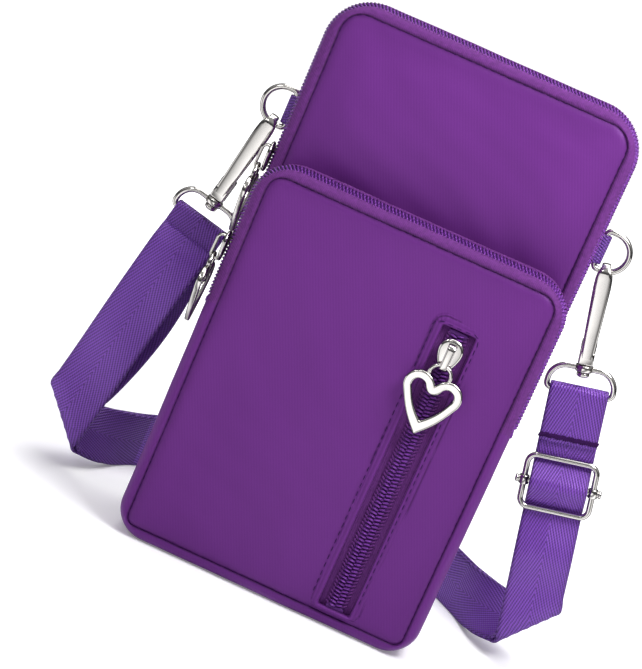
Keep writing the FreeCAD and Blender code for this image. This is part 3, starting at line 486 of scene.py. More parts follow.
def tube(rings, closed=False):
    """Faces through a list of equal closed rings, with end caps unless the way closes."""
    rings = np.asarray(rings, float)
    n, m = rings.shape[:2]
    faces = grid(n, m, wrap_rows=closed, wrap_cols=True)
    if not closed:
        faces += [tuple(range(m)), tuple(range((n - 1) * m, n * m))]
    return rings.reshape(-1, 3), faces


def circle(count):
    a = np.arange(count) * math.tau / count
    return np.cos(a), np.sin(a)


def oval(wide, thick, power=2.0, count=16):
    c, s = (np.sign(v) * abs(v) ** (2 / power) for v in circle(count))
    return np.stack([wide / 2 * c, thick / 2 * s], 1)


def tangents(path, closed=False):
    ahead = np.roll(path, -1, 0) - np.roll(path, 1, 0) if closed else np.gradient(path, axis=0)
    return unit(ahead)


def sweep(path, side, profile, closed=False, scale=(1.0, 1.0)):
    """Sweeps a profile (across side, across the other way) along a path that lies square to side."""
    side = np.broadcast_to(np.asarray(side, float), path.shape)
    other = np.cross(tangents(path, closed), side)
    scale = np.broadcast_to(scale, (len(path), 2))
    rings = [p + np.outer(profile[:, 0] * k[0], s) + np.outer(profile[:, 1] * k[1], o)
             for p, s, o, k in zip(path, side, other, scale)]
    return tube(rings, closed)


def wire_loop(path):
    """Closed round wire along a path that faces the front."""
    return sweep(path, (0, 1, 0), oval(WIRE, WIRE, count=20), closed=True)


def turtle(moves, start, heading, step=1.0):
    """Points and headings along stretches of (length, left turn in degrees)."""
    x, y = start
    h = math.radians(heading)
    out = [(x, y, h)]
    for distance, turn in moves:
        n = max(1, math.ceil(distance / step), math.ceil(abs(turn) / 7))
        t = math.radians(turn) / n
        chord = distance / n * (math.sin(t / 2) / (t / 2) if t else 1.0)
        for _ in range(n):
            x += chord * math.cos(h + t / 2)
            y += chord * math.sin(h + t / 2)
            h += t
            out.append((x, y, h))
    return np.array(out)


def round_box(wide, tall, arc):
    """Moves round a box with four equal corners."""
    return 2 * [(wide, 0), arc, (tall, 0), arc]


def lathe(profile, count=24, closed=False, along_x=False):
    """Turned form about the Z axis, or the X axis, from (radius, height) pairs."""
    c, s = circle(count)
    rings = [np.stack([r * c, r * s, np.full(count, z)], 1) for r, z in profile]
    points, faces = tube(rings, closed)
    return np.roll(points, 1, 1) if along_x else points, faces


def soft_box(corner, other, bevel=0.35, segments=3):
    """Box between two opposite corners with rounded edges."""
    low, high = np.minimum(corner, other), np.maximum(corner, other)
    tool = bmesh.new()
    bmesh.ops.create_cube(tool, size=1.0)
    for v in tool.verts:
        v.co = Vector(low + (np.array(v.co) + 0.5) * (high - low))
    bmesh.ops.bevel(tool, geom=tool.edges[:], offset=bevel, segments=segments, profile=0.5,
                    affect="EDGES")
    tool.verts.index_update()
    points = [tuple(v.co) for v in tool.verts]
    faces = [tuple(v.index for v in f.verts) for f in tool.faces]
    tool.free()
    return np.array(points), faces


def pill(long, wide, tall, segments=8):
    """Rounded bead lying along X."""
    c, s = circle(segments)
    rings = []
    for k in (-1.0, -0.92, -0.6, 0.0, 0.6, 0.92, 1.0):
        r = max(0.12, (1 - abs(k) ** 3) ** 0.5)
        rings.append(np.stack([np.full(segments, k * long / 2), wide / 2 * r * c, tall / 2 * r * s], 1))
    return tube(rings)


def place_beads(shape, bead, centres, along, up):
    """Adds a bead at each centre. along and up are one direction each, or one for every bead."""
    points, faces = bead
    along, up = (np.broadcast_to(v, centres.shape) for v in (along, up))
    for c, t, n in zip(centres, along, up):
        shape.add(points @ np.stack([t, np.cross(n, t), n]) + c, faces)
    return shape


def resample(path, pitch, start=0.0):
    """Points and tangents at equal steps along a path, and each step's share of the way."""
    s = distances(path)
    steps = np.arange(start, s[-1], pitch)
    points = np.stack([np.interp(steps, s, path[:, i]) for i in range(3)], 1)
    return points, tangents(points), steps / s[-1]


def drape(x, z, seed, size):
    """Soft cloth waves: a few long sines and a crease."""
    a = np.sin(x * 0.061 + seed) * np.sin(z * 0.047 + 2 * seed)
    b = np.sin(x * 0.11 - z * 0.083 + 3 * seed)
    c = np.sin(x * 0.19 + z * 0.15 + seed)
    bend = 1.4 * np.sin(x * 0.043 - z * 0.06)
    crease = np.sin(x * 0.16 + z * 0.21 + 2.2 * seed + bend)
    return size * (0.5 * a + 0.28 * b + 0.14 * c + 0.2 * abs(crease) ** 3)


# Pouch shells


def arch(inset, z_end, z_top, r, step=2.0, bend=14):
    """Points and outward normals up the right side, round the top or base, and down the left side."""
    s = 1 if z_top > z_end else -1
    rr = r - inset - TIGHT * np.clip(inset / SEAM, 0, 1) ** 2
    zc, xc = z_top - s * (inset + rr), HALF - inset - rr
    sides = max(2, int(abs(z_top - s * r - z_end) / step))
    top = int(2 * (HALF - r) / step) // 2 + 1
    rise = np.linspace(z_end, zc, sides, endpoint=False)
    a = np.linspace(0, math.pi / 2, bend, endpoint=False)
    x = np.concatenate([np.full(sides, HALF - inset), xc + rr * np.cos(a), np.linspace(xc, 0, top)])
    z = np.concatenate([rise, zc + s * rr * np.sin(a), np.full(top, z_top - s * inset)])
    nx = np.concatenate([np.ones(sides), np.cos(a), np.zeros(top)])
    nz = np.concatenate([np.zeros(sides), s * np.sin(a), np.full(top, float(s))])
    right, normals = np.stack([x, z], 1), np.stack([nx, nz], 1)
    return tuple(np.concatenate([v, v[-2::-1] * (-1, 1)]) for v in (right, normals))


def thicken(profile, thick):
    """Closed section from an open (inset, y, painted shade) line, thickened to its inner side, which gets
    no painted shade.
    """
    line = np.array([p[:2] for p in profile], float)
    t = tangents(line)
    inner = line + np.stack([t[:, 1], -t[:, 0]], 1) * thick
    seam = [p[2] for p in profile]
    return np.concatenate([line, inner[::-1]]), seam + [0.0] * len(seam)


def band(name, profile, way, look, seed):
    """Band of cloth round an arch, with soft waves."""
    section, shade = thicken(profile, CLOTH)
    lines = []
    for inset, y in section:
        xz, normal = arch(inset, *way)
        push = drape(xz[:, 0] * 1.7, xz[:, 1] * 1.7 + y * 3, seed, BAND_WAVE) - BAND_WAVE
        lines.append(upright(xz + normal * push[:, None], y))
    rings = np.array(lines).transpose(1, 0, 2)
    return Shape().add(*tube(rings), seam=np.tile(shade, len(rings))).object(name, look)


def rolled_edge(y0, r, sign, last=90.0):
    """Edge from the seam groove over a round corner. sign +1 rolls to the back, -1 to the front."""
    # The seam line sits at r + 0.3. The third value of each point is painted shade, darkest in the seam
    # groove and gone over the corner.
    seam, groove = r + 0.3, 0.9
    line = [(seam + 0.35, y0 + sign * groove, 1.0), (seam + 0.1, y0 + sign * groove * 0.55, 0.75),
            (seam - 0.2, y0 + sign * 0.26, 0.32), (seam - 0.6, y0 + sign * 0.06, 0.12)]
    for a in np.radians(np.linspace(12, last, 9)):
        line.append((r * (1 - math.sin(a)), y0 + sign * r * (1 - math.cos(a)), 0.0))
    return line


def coil_edge(y0):
    """Front zip tape: over the edge as far as the teeth, then tucked in under them."""
    roll = rolled_edge(y0, EDGE_R, 1, last=60.0)
    inset, y, _ = roll[-1]
    # The tucked-in end gets painted shade, as it lies under the teeth.
    return roll + [(inset + 0.1, y + 0.35, 0.4), (inset + 0.7, y + 0.6, 0.9)]


def tape_rim(c):
    """Edge of the rear zip tape from under the teeth to its outside, and the depth of that edge."""
    edge = c.zip_y + ZIP_REACH
    # Painted shade under the teeth, fading towards the tape's outside.
    return [(0.9, edge - 0.45, 0.8), (0.3, edge - 0.2, 0.2), (0.0, edge + 0.2, 0.0)], edge


def panel(name, c, inset, y0, sign, dip, seed, crown=0.0, puffed=0.0, size=1.0, hole=None):
    """Cloth panel with a sunken seam at its rim, a soft crown and long waves."""
    bend, core = 7, 34.0
    half, low, high = HALF - inset, inset, c.height - inset
    rb, rt = BASE_R - inset - TIGHT, c.top_r - inset - TIGHT
    rise = np.linspace(0, math.pi / 2, bend)
    fall = rise[::-1]
    straight = np.linspace(low + rb, high - rt, int((high - low) / 1.8))[1:-1]
    z = np.concatenate([low + rb * (1 - np.cos(rise)), straight, high - rt * (1 - np.cos(fall))])
    wide = np.concatenate([half - rb + rb * np.sin(rise), np.full(len(straight), half),
                           half - rt + rt * np.sin(fall)])
    cols = list(np.arange(-core, core + 0.1, 2.0))
    if hole:
        free = [x for x in cols if min(abs(x - hole[0]), abs(x - hole[1])) > 0.6]
        cols = sorted(free + [hole[0], hole[1]])
        for edge in hole[2:]:
            z[np.argmin(abs(z - edge))] = edge
    out = np.array([0.2, 0.4, 0.58, 0.73, 0.84, 0.92, 0.965, 0.988, 1.0])
    wings = core + np.outer(wide - core, out)
    x = np.concatenate([-wings[:, ::-1], np.tile(cols, (len(z), 1)), wings], 1)
    zz = np.repeat(z[:, None], x.shape[1], 1)
    # d is the distance from the rim
    r = np.where(zz > (low + high) / 2, rt, rb)
    qx = abs(x) - (half - r)
    qz = abs(zz - (low + high) / 2) - ((high - low) / 2 - r)
    corner = np.hypot(np.maximum(qx, 0), np.maximum(qz, 0))
    d = r - (corner + np.minimum(np.maximum(qx, qz), 0))
    ripple = np.sin((x + zz) * 0.83 + seed) + 0.7 * np.sin((x - zz) * 1.27 + 2 * seed)
    pucker = 0.07 * (ripple + 0.5 * np.sin(x * 0.41 + zz * 0.37)) * np.exp(-d / 4.0)
    puff = np.sin(np.clip((zz - puffed) / (high - puffed), 0, 1) * math.pi) * smooth(d / 14)
    waves = drape(x, zz, seed, size) * smooth(d / 12)
    y = y0 + sign * (dip * (1 - smooth(d / 1.9)) + pucker - crown * puff + waves)
    # Painted shade: dark in the seam groove at the rim, with a soft darkening a few millimetres onto the
    # panel.
    seam = np.maximum(np.clip(1 - d / 0.75, 0, 1), 0.3 * np.exp(-d / 2.2))
    front = np.stack([x, y, zz], 2).reshape(-1, 3)
    n, m = x.shape
    faces = []
    for quad in grid(n, m):
        cx, _, cz = (front[quad[0]] + front[quad[2]]) / 2
        if hole and hole[0] < cx < hole[1] and hole[2] < cz < hole[3]:
            continue
        faces += [quad, tuple(v + n * m for v in reversed(quad))]
    rim = list(range(m)) + [i * m + m - 1 for i in range(1, n)]
    rim += [(n - 1) * m + j for j in range(m - 2, -1, -1)] + [i * m for i in range(n - 2, 0, -1)]
    faces += [(a, b, b + n * m, a + n * m) for a, b in zip(rim, rim[1:] + rim[:1])]
    points = np.concatenate([front, front + (0, sign * CLOTH, 0)])
    shade = np.concatenate([seam.ravel(), np.zeros(n * m)])
    return Shape().add(points, faces, seam=shade).object(name, "SatinNylon")


def seam_stitches(name, way, y):
    xz, _ = arch(STITCH_INSET, *way)
    points, t, _ = resample(upright(xz, y + STITCH_DEPTH), sizes().stitch_pitch / MM, 1.0)
    return place_beads(Shape(), pill(1.7, 0.34, 0.34, 6), points, t, OUTSIDE).object(name, "Thread")


def hinge(obj, c):
    """Bakes an object's transform into its mesh."""
    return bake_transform(obj)


def ride_all(body, *objs):
    for obj in objs:
        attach(obj, body)


def front_cloth(c, seed, tape_seed, **form):
    """Front panel and front zip tape of a compartment."""
    front = panel(c.name + "_front", c, SEAM - PANEL_OVERLAP, c.front_y, 1, 1.1, seed, **form)
    strip = band(c.name + "_tape_front", coil_edge(c.front_y), c.top(), "ZipTape", tape_seed)
    hinge(front, c)
    hinge(strip, c)
    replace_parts(front, c.name + "_front_panel", c.flap + "_panel")
    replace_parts(strip, c.name + "_zip_tape_front", c.flap + "_tape")


def main_shell():
    top, base = MAIN.top(), MAIN.base()
    front_cloth(MAIN, 0.4, 0.7, crown=1.9, puffed=POCKET.height - 4)
    rim, edge = tape_rim(MAIN)
    # Painted shade in the seam where the rear tape meets the upper gusset.
    rear = rim + [(0.0, edge + 2.5, 0.0), (0.05, edge + 4.6, 0.2), (0.5, edge + 5.0, 1.0)]
    rear_tape = band("main_tape_rear", rear, top, "ZipTape", 1.9)
    gusset = [(0.5, edge + 4.9, 1.0), (0.02, edge + 5.3, 0.3), (0.0, edge + 6.0, 0.0)]
    back_roll = rolled_edge(BACK_Y, BACK_EDGE_R, -1)[::-1]
    upper = band("main_gusset_upper", gusset + back_roll, top, "SatinNylon", 2.6)
    front_roll = rolled_edge(SPLIT_Y, EDGE_R, 1)
    lower = band("main_gusset_lower", front_roll + back_roll, base, "SatinNylon", 3.3)
    back = panel("main_back", MAIN, BACK_SEAM - PANEL_OVERLAP, BACK_Y, -1, 1.0, 2.2)
    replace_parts(rear_tape, "main_zip_tape_rear")
    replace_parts(lower, "main_gusset")
    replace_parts(back, "main_back_panel")
    hinge(seam_stitches("main_seam_upper", top, SPLIT_Y), MAIN)
    ride_all("pouch", rear_tape, upper, lower, back, lining_sack())


def lining_sack():
    """Thin lining that hangs inside the main compartment, open at the top."""
    corner, deep, squash, forward = (12.6, 90), 7.4, 0.78, -1.2
    lines = []
    for z, pull in ((4.0, 7.0), (8.0, 3.4), (16.0, 2.6), (60.0, 2.3), (100.0, 2.4), (110.5, 2.9)):
        half = HALF - pull - 8
        way = turtle(round_box(2 * half, deep, corner), (-half, -9.0), 0)[:-1]
        lines.append(np.stack([way[:, 0], way[:, 1] * squash + forward, np.full(len(way), z)], 1))
    m = min(len(line) for line in lines)
    lines = [line[np.linspace(0, len(line) - 1, m).astype(int)] for line in lines]
    faces = grid(len(lines), m, wrap_cols=True) + [tuple(range(m))]
    sack = Shape().add(np.concatenate(lines), faces).object("main_lining_sack", "Lining")
    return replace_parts(sack, "main_lining")


def pocket_shell():
    top, base = POCKET.top(), POCKET.base()
    hole = (WELT_X - WELT_HALF, WELT_X + WELT_HALF, *WELT_Z)
    front_cloth(POCKET, 1.3, 0.2, hole=hole, size=0.75)
    back_roll = [(EDGE_R * (1 - math.sin(a)), SPLIT_Y - EDGE_R * (1 - math.cos(a)), 0.0)
                 for a in np.radians(np.linspace(90, 5, 9))]
    back_roll += [(5.2, SPLIT_Y - 0.05, 0.0), (8.4, SPLIT_Y - 0.03, 0.0)]
    rim, _ = tape_rim(POCKET)
    rear_tape = band("pocket_tape_rear", rim + back_roll, top, "ZipTape", 1.1)
    front_roll = rolled_edge(FRONT_Y, EDGE_R, 1)
    lower = band("pocket_gusset_lower", front_roll + back_roll, base, "SatinNylon", 4.1)
    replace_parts(rear_tape, "pocket_zip_tape_rear")
    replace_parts(lower, "pocket_gusset")
    hinge(seam_stitches("pocket_seam_upper", top, FRONT_Y), POCKET)
    low_stitches = seam_stitches("pocket_seam_lower", base, FRONT_Y)
    ride_all("pouch", rear_tape, lower, low_stitches)


# Zips


def side_coil(name, c, side):
    """One row of teeth and its sewing thread along the gusset. side -1 is the front row."""
    first, sunk, tilt = 0.4, 0.45, math.radians(16.0)
    xz, normal = arch(0.0, c.zip_end + 1.2, c.height, c.top_r, step=1.0, bend=30)
    path, outward = upright(xz, c.zip_y), upright(normal)
    pitch = sizes().coil_pitch / MM
    points, t, share = resample(path, pitch, first if side < 0 else first + pitch / 2)
    s = distances(path)
    up = unit(np.stack([np.interp(share, s / s[-1], outward[:, i]) for i in range(3)], 1))
    back = np.tile((0.0, 1.0, 0.0), (len(points), 1))
    across = back * math.cos(tilt) + up * math.sin(tilt)
    out = up * math.cos(tilt) - back * math.sin(tilt)
    middle = points - back * ZIP_FORWARD - up * sunk
    lean = unit(across + t * 0.22)
    teeth = place_beads(Shape(), pill(2.1, 0.78, 1.6), middle + across * (side * 1.05), lean, out)
    # The core strip between the teeth gets painted shade, so the gaps between teeth look dark.
    core = np.stack([middle + across * (side * k) - out * d
                     for k, d in ((0.1, -0.1), (2.9, -0.1), (2.9, 1.2), (0.1, 1.4))], 1)
    coil = teeth.add(*tube(core), seam=0.9).object(name, "CoilNylon")
    sewn = (middle + t * (pitch / 2) + across * (side * 2.45) + out * 0.3)[:-1]
    sewing = place_beads(Shape(), pill(1.1, 0.45, 0.5, 6), sewn, lean[:-1], out[:-1])
    return coil, sewing.object(name + "_thread", "ZipTape")


def zips():
    for c in (MAIN, POCKET):
        rear = side_coil(c.name + "_coil_back", c, 1)
        front = side_coil(c.name + "_coil_front", c, -1)
        for obj in front:
            hinge(obj, c)
        ride_all("pouch", *rear)
        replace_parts(rear[0], c.name + "_zip_coil_rear")
        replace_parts(front[0], c.name + "_zip_coil_front", c.flap + "_coil")
        ends = Shape()
        for s in (-1, 1):
            ends.add(*soft_box((s * (HALF + 0.25), c.zip_y - 2.8, c.zip_end - 1.0),
                               (s * (HALF - 2.0), c.zip_y + 2.8, c.zip_end + 1.0), 0.5))
        stops = ends.object(c.name + "_stops", "CoilNylon")
        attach(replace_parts(stops, c.name + "_zip_stops"), "pouch")


def welt_lips():
    """Cloth lips round the zip's window, from rings of (way out, depth, painted shade). The painted shade
    darkens the crease and the way down into the window.
    """
    profile = ((3.4, 0.3, 0.0), (3.0, 0.0, 0.3), (2.7, 0.14, 0.75), (2.35, -0.14, 0.15),
               (1.8, -0.3, 0.0), (1.35, -0.2, 0.25), (0.95, -0.42, 0.0), (0.5, -0.52, 0.0),
               (0.1, -0.36, 0.0), (-0.15, 0.3, 0.3), (-0.2, 1.5, 0.6))
    # A straight is one step of the way and a corner is 13, and each gets an equal share of points
    even = np.linspace(0, 1, 241)[:-1]
    spread = np.interp(even, np.linspace(0, 1, 9), np.cumsum([0] + 4 * [1, 13]))
    lines = []
    for d, y, _ in profile:
        half, low, high = WELT_HALF + d, WELT_Z[0] - min(d, 1.4), WELT_Z[1] + d
        r = max(1.0 + d, 0.7)
        moves = round_box(2 * (half - r), high - low - 2 * r, (r * math.pi / 2, 90))
        way = turtle(moves, (WELT_X - half + r, low), 0, step=200.0)
        way = np.stack([np.interp(spread, np.arange(len(way)), way[:, i]) for i in (0, 1)], 1)
        tuck = 0.09 * np.sin(even * 190 + d) * math.exp(-((d - 2.4) / 0.8) ** 2)
        lines.append(upright(way, FRONT_Y + y + tuck))
    count = len(even)
    seam = np.repeat([shade for _, _, shade in profile], count)
    faces = grid(len(lines), count, wrap_cols=True)
    return Shape().add(np.concatenate(lines), faces, seam=seam).object("welt_lips", "SatinNylon")


def welt_coils():
    """Tapes, teeth and sewing thread of the welted zip."""
    y = WELT_TAPE_Y
    tapes, teeth, sewing = Shape(), Shape(), Shape()
    z = np.arange(WELT_Z[0] + 1.6, WELT_Z[1] - 1.2, sizes().coil_pitch / MM * 1.05)
    for s in (-1, 1):
        tapes.add(*soft_box((WELT_X + s * 0.5, y, 6.6), (WELT_X + s * 10.0, y + 0.6, 110.0), 0.2, 1))
        line = np.stack([np.full(len(z), WELT_X + s * 1.0), z + (0.6 if s > 0 else 0)], 1)
        centres = upright(line, y - 0.95)
        lean, slope = (unit(np.array([1.0, 0.0, s * k])) for k in (0.2, 0.75))
        place_beads(teeth, pill(2.3, 0.74, 1.5), centres, lean, OUTSIDE)
        place_beads(sewing, pill(1.9, 0.68, 0.9, 6), centres + (s * 1.75, 0.3, 0.3), slope, OUTSIDE)
        # The core strip between the teeth gets painted shade, so the gaps between teeth look dark.
        teeth.add(*soft_box((WELT_X - s * 0.2, y - 0.6, z[0] - 0.8),
                            (WELT_X + s * 3.2, y - 0.1, z[-1] + 0.8), 0.15, 1), seam=0.8)
    return (tapes.object("welt_tapes", "ZipTape"), teeth.object("welt_coils", "CoilNylon"),
            sewing.object("welt_coil_thread", "ZipTape"))


def welt_zip():
    y = WELT_TAPE_Y
    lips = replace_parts(welt_lips(), "front_welt")
    tapes, coils, sewn = welt_coils()
    ends = Shape()
    for low in (WELT_Z[0], WELT_Z[1] - 2.0):
        bar = soft_box((WELT_X - 3.1, y - 1.2, low), (WELT_X + 3.1, y, low + 1.6), 0.5)
        # The stops at the window's ends get painted shade, as they lie in the window's recess.
        ends.add(*bar, seam=0.75)
    stops = ends.object("welt_stops", "CoilNylon")
    rings = [[(x0, depth, z0), (x1, depth, z0), (x1, depth, z1), (x0, depth, z1)]
             for x0, x1, z0, z1, depth in ((4.6, 39.4, 5.6, 111.6, y + 0.1),
                                           (4.8, 39.2, 5.8, 111.4, y + 2.0),
                                           (7.0, 37.0, 8.0, 109.0, y + 3.0))]
    faces = grid(3, 4, wrap_cols=True) + [(8, 9, 10, 11)]
    bag = Shape().add(np.concatenate(rings), faces).object("welt_bag", "Lining")
    corner = (2.5, -90)
    dash = turtle([(96.0, 0), corner, (12.0, 0), corner, (96.0, 0)],
                  (WELT_X - WELT_HALF - 2.7, WELT_Z[0] + 4), 90)
    points, t, _ = resample(upright(dash, FRONT_Y - 0.43), 2.9, 0.5)
    stitches = place_beads(Shape(), pill(1.9, 0.36, 0.36, 6), points, t, OUTSIDE)
    stitches = stitches.object("welt_stitches", "Thread")
    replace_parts(tapes, "front_zip_tapes")
    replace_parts(coils, "front_zip_coils")
    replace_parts(stops, "front_zip_stops")
    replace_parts(bag, "front_zip_bag")
    ride_all("pouch", lips, tapes, coils, sewn, stops, bag, stitches)


# Sliders and heart pulls, built for the front zip: outside is -Y and the zip runs along Z


def rounded(points, times=2):
    points = np.asarray(points, float)
    for _ in range(times):
        after = np.roll(points, -1, 0)
        cut = [points * 0.75 + after * 0.25, points * 0.25 + after * 0.75]
        points = np.stack(cut, 1).reshape(-1, 2)
    return points


def plate(shape, outline, y0, y1, bevel):
    """Flat plate in XZ with rounded rims between two depths."""
    centre = outline.mean(0)
    reach = np.linalg.norm(outline - centre, axis=1).mean()
    rings = []
    for shrink, y in ((bevel * 1.6, y0), (bevel * 0.5, y0 + bevel * 0.25), (0, y0 + bevel),
                      (0, y1 - bevel), (bevel * 0.5, y1 - bevel * 0.25), (bevel * 1.6, y1)):
        rings.append(upright(centre + (outline - centre) * (1 - shrink / reach), y))
    shape.add(*tube(rings))


def slider_shape(coil_top, coil_base):
    """Slider between the outside and inside of a coil, with the bridge that holds its pull."""
    shape = Shape()
    wide, half = 4.1, SLIDER_LONG / 2
    right = [(1.2, -half), (2.8, -3.4), (wide, 0.4), (wide - 0.3, 3.2), (1.8, half)]
    rim = right + [(-x, z) for x, z in reversed(right)]
    top = coil_top - 0.3
    out = top - SLIDER_PLATE
    plate(shape, rounded(rim), out, top, 0.6)
    plate(shape, rounded([(x * 0.74, z) for x, z in rim]), coil_base + 0.3, coil_base + 1.5, 0.3)
    shape.add(*soft_box((-0.3, top - 0.3, 1.5), (0.3, coil_base + 0.5, 4.0), 0.08, 1))
    way = turtle([(1.3, 0), (2.0, -90), (5.4, -4), (2.4, -86), (0.9, 0)], (-4.8, -0.2), 90, 0.3)
    n = len(way)
    path = np.stack([np.zeros(n), out - way[:, 1], way[:, 0]], 1)
    flare = np.interp(np.arange(n), [0, n // 3, n - 1], [0.7, 1.0, 1.15])
    scale = np.stack([flare, np.ones(n)], 1)
    return shape.add(*sweep(path, (1, 0, 0), oval(2.5, 0.95, 3.2), scale=scale))


def heart_rim(lobe_r, tip, notch_r):
    """A heart's rim: the right half from tip to notch, then mirrored. The lobes' tops are at 0."""
    drop = -LOBE_R
    point = np.array([0.0, tip])
    notch = math.sqrt(LOBE_R ** 2 - LOBE_X ** 2)
    swing = math.atan2(drop - tip, LOBE_X) - math.asin(lobe_r / math.hypot(LOBE_X, drop - tip))
    a = np.linspace(swing - math.pi / 2, math.pi - math.atan2(notch, LOBE_X), 26)
    lobe = np.stack([LOBE_X + lobe_r * np.cos(a), drop + lobe_r * np.sin(a)], 1)
    t = np.linspace(0, 1, 12, endpoint=False)[:, None]
    way = lobe[0] - point
    bow = unit(np.array([way[1], -way[0]])) * HEART_BOW
    half = np.concatenate([point + t * way + np.sin(t * math.pi) * bow, lobe])
    if notch_r:
        low = np.linspace(math.atan2(lobe[-1][1] - drop - notch, lobe[-1][0]), -math.pi / 2, 8)[1:]
        bowl = np.stack([notch_r * np.cos(low), drop + notch + notch_r * np.sin(low)], 1)
        half = np.concatenate([half, bowl])
    mirror = half[1:][::-1] * (-1, 1)
    if abs(half[-1][0]) < 1e-6:
        mirror = mirror[1:]
    return np.concatenate([half, mirror])


def heart_shape():
    """Open heart with rounded rims and its wire loop, hanging in XZ from the origin."""
    s = np.linspace(0, 1, 96, endpoint=False)

    def even(line):
        line = np.concatenate([line, line[:1]])
        d = distances(line)
        return np.stack([np.interp(s * d[-1], d, line[:, i]) for i in (0, 1)], 1)

    inner_tip = HEART_TIP + HEART_BAR / math.sin(math.atan2(9.2, 13.0))
    outer = even(heart_rim(LOBE_R, HEART_TIP, 0.0))
    inner = even(heart_rim(LOBE_R - HEART_BAR, inner_tip, HEART_BAR))
    side = [(0.0, 0.0), (0.0, 0.5), (0.04, 0.74), (0.13, 0.88), (0.2, 0.9), (0.8, 0.9), (0.87, 0.88),
            (0.96, 0.74), (1.0, 0.5)]
    rings = [upright(outer * (1 - k) + inner * k - (0, HEART_DROP), y)
             for k, y in side + [(k, -y) for k, y in reversed(side[1:])]]
    shape = Shape().add(*tube(np.array(rings).transpose(1, 0, 2), closed=True))
    loop = turtle(round_box(0.7, 1.1, (5.0, -90)), (-0.35, 0.0), 0, 0.5)[:-1]
    wire = oval(2 * LOOP_R, 2 * LOOP_R)
    return shape.add(*sweep(upright(loop), (0, 1, 0), wire, closed=True))


def pulls():
    held = BRIDGE + LOOP_R + PLAY
    drop, out = SLIDER_LONG / 2 - held, PULL_REACH - held
    side_top, side_base = -HALF - 0.5, -HALF + 2.1

    def at_front(p):
        return p + (WELT_X, 0, 99.4)

    def at_side(y, z):
        return lambda p: np.stack([p[:, 1], y - p[:, 0], p[:, 2] + z], 1)

    for name, top, base, place in (
        ("front", WELT_TAPE_Y - 1.8, FRONT_Y + 2.2, at_front),
        ("pocket", side_top, side_base, at_side(POCKET.zip_y, 100.4)),
        ("main", side_top, side_base, at_side(MAIN.zip_y, 129.5)),
    ):
        body = slider_shape(top, base).object(name + "_slider_cast", "BrightNickel", place)
        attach(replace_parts(body, name + "_zip_slider"), name + "_slider")
        heart = heart_shape().object(name + "_heart", "BrightNickel",
                                     lambda p: place(p + (0, top - out, -drop)))
        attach(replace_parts(heart, name + "_heart_pull"), name + "_pull")


# Clips at the sides


def to_clip(side):
    """Places points of a clip's own frame, which leans outward from the D-ring."""
    def place(p):
        x = HOOK_X + p[:, 0] * math.cos(LEAN) - p[:, 2] * math.sin(LEAN)
        z = HOOK_Z + p[:, 0] * math.sin(LEAN) + p[:, 2] * math.cos(LEAN)
        return np.stack([side * x, CLIP_Y + p[:, 1], z], 1)
    return place


def clip_at(x, y, z, side):
    return to_clip(side)(np.array([[x, y, z]], float))[0]


def mirror_to(side):
    return lambda p: p * (side, 1, 1)


def d_ring_shape():
    corner, end = (2.356, 90), (1.6, 0)
    way = turtle([(10.0, 0), corner, end, (20.42, 180), end, corner], (DRING_X, DRING_Z + 5.0), 270, 0.7)
    return Shape().add(*wire_loop(upright(way[:-1], CLIP_Y)))


def strap_ring_shape():
    shape = Shape()
    way = turtle([(9.4, 0), (2.513, 90), (0.8, 0), (9.425, 90), (3.2, 0)], (0.0, BAR_Z), 0, 0.7)
    for s in (1, -1):
        shape.add(*sweep(mirror_to(s)(upright(way)), (0, 1, 0), oval(WIRE, WIRE, count=20)))
    collar = [(1.35, -1.2), (2.6, -1.2), (2.95, -0.85), (2.95, 0.85), (2.6, 1.2), (1.35, 1.2)]
    return shape.add(*lathe(collar, closed=True), at=(0, 0, COLLAR_Z))


def hook_shape():
    """Bent hook with a forked block for the gate and a stem with a rivet head."""
    shape = Shape()
    eye_z, eye_r = -0.45, 2.65
    line = [(-2.0, -29.0), (-2.1, -26.0), (-2.35, -21.0), (-2.6, -16.0), (-2.65, -10.0), (-2.65, -5.0),
            (-2.65, -2.0)]
    line += [(eye_r * math.cos(a), eye_z + eye_r * math.sin(a))
             for a in np.radians(np.linspace(180, -25, 22))]
    path = np.array([(0.0, y, z) for y, z in line])
    steps = np.arange(len(line))
    wide = np.interp(steps, [0, 1, 2, 5, 6, 9, 12, 24, 28], [4.2, 4.4, 4.8, 5.8, 5.6, 4.0, 3.0, 2.8, 1.8])
    thick = np.interp(steps, [0, 4, 10, 24, 28], [1.7, 1.5, 1.5, 1.5, 1.0])
    scale = np.stack([wide, thick], 1)
    shape.add(*sweep(path, (1, 0, 0), oval(1.0, 1.0, 3.2, 20), scale=scale))
    shape.add(*soft_box((-2.5, -2.75, -31.2), (2.5, 2.6, -26.8), 0.55))
    for s in (-1, 1):
        shape.add(*soft_box((s * 2.1 - 0.4, -1.9, -28.5), (s * 2.1 + 0.4, 2.6, -23.3), 0.3))
    return shape.add(*lathe([(0.9, -30.8), (1.1, -31.0), (1.1, -34.05), (1.9, -34.1), (2.2, -34.4),
                             (2.1, -35.2), (1.4, -35.7), (0.3, -35.8)]))


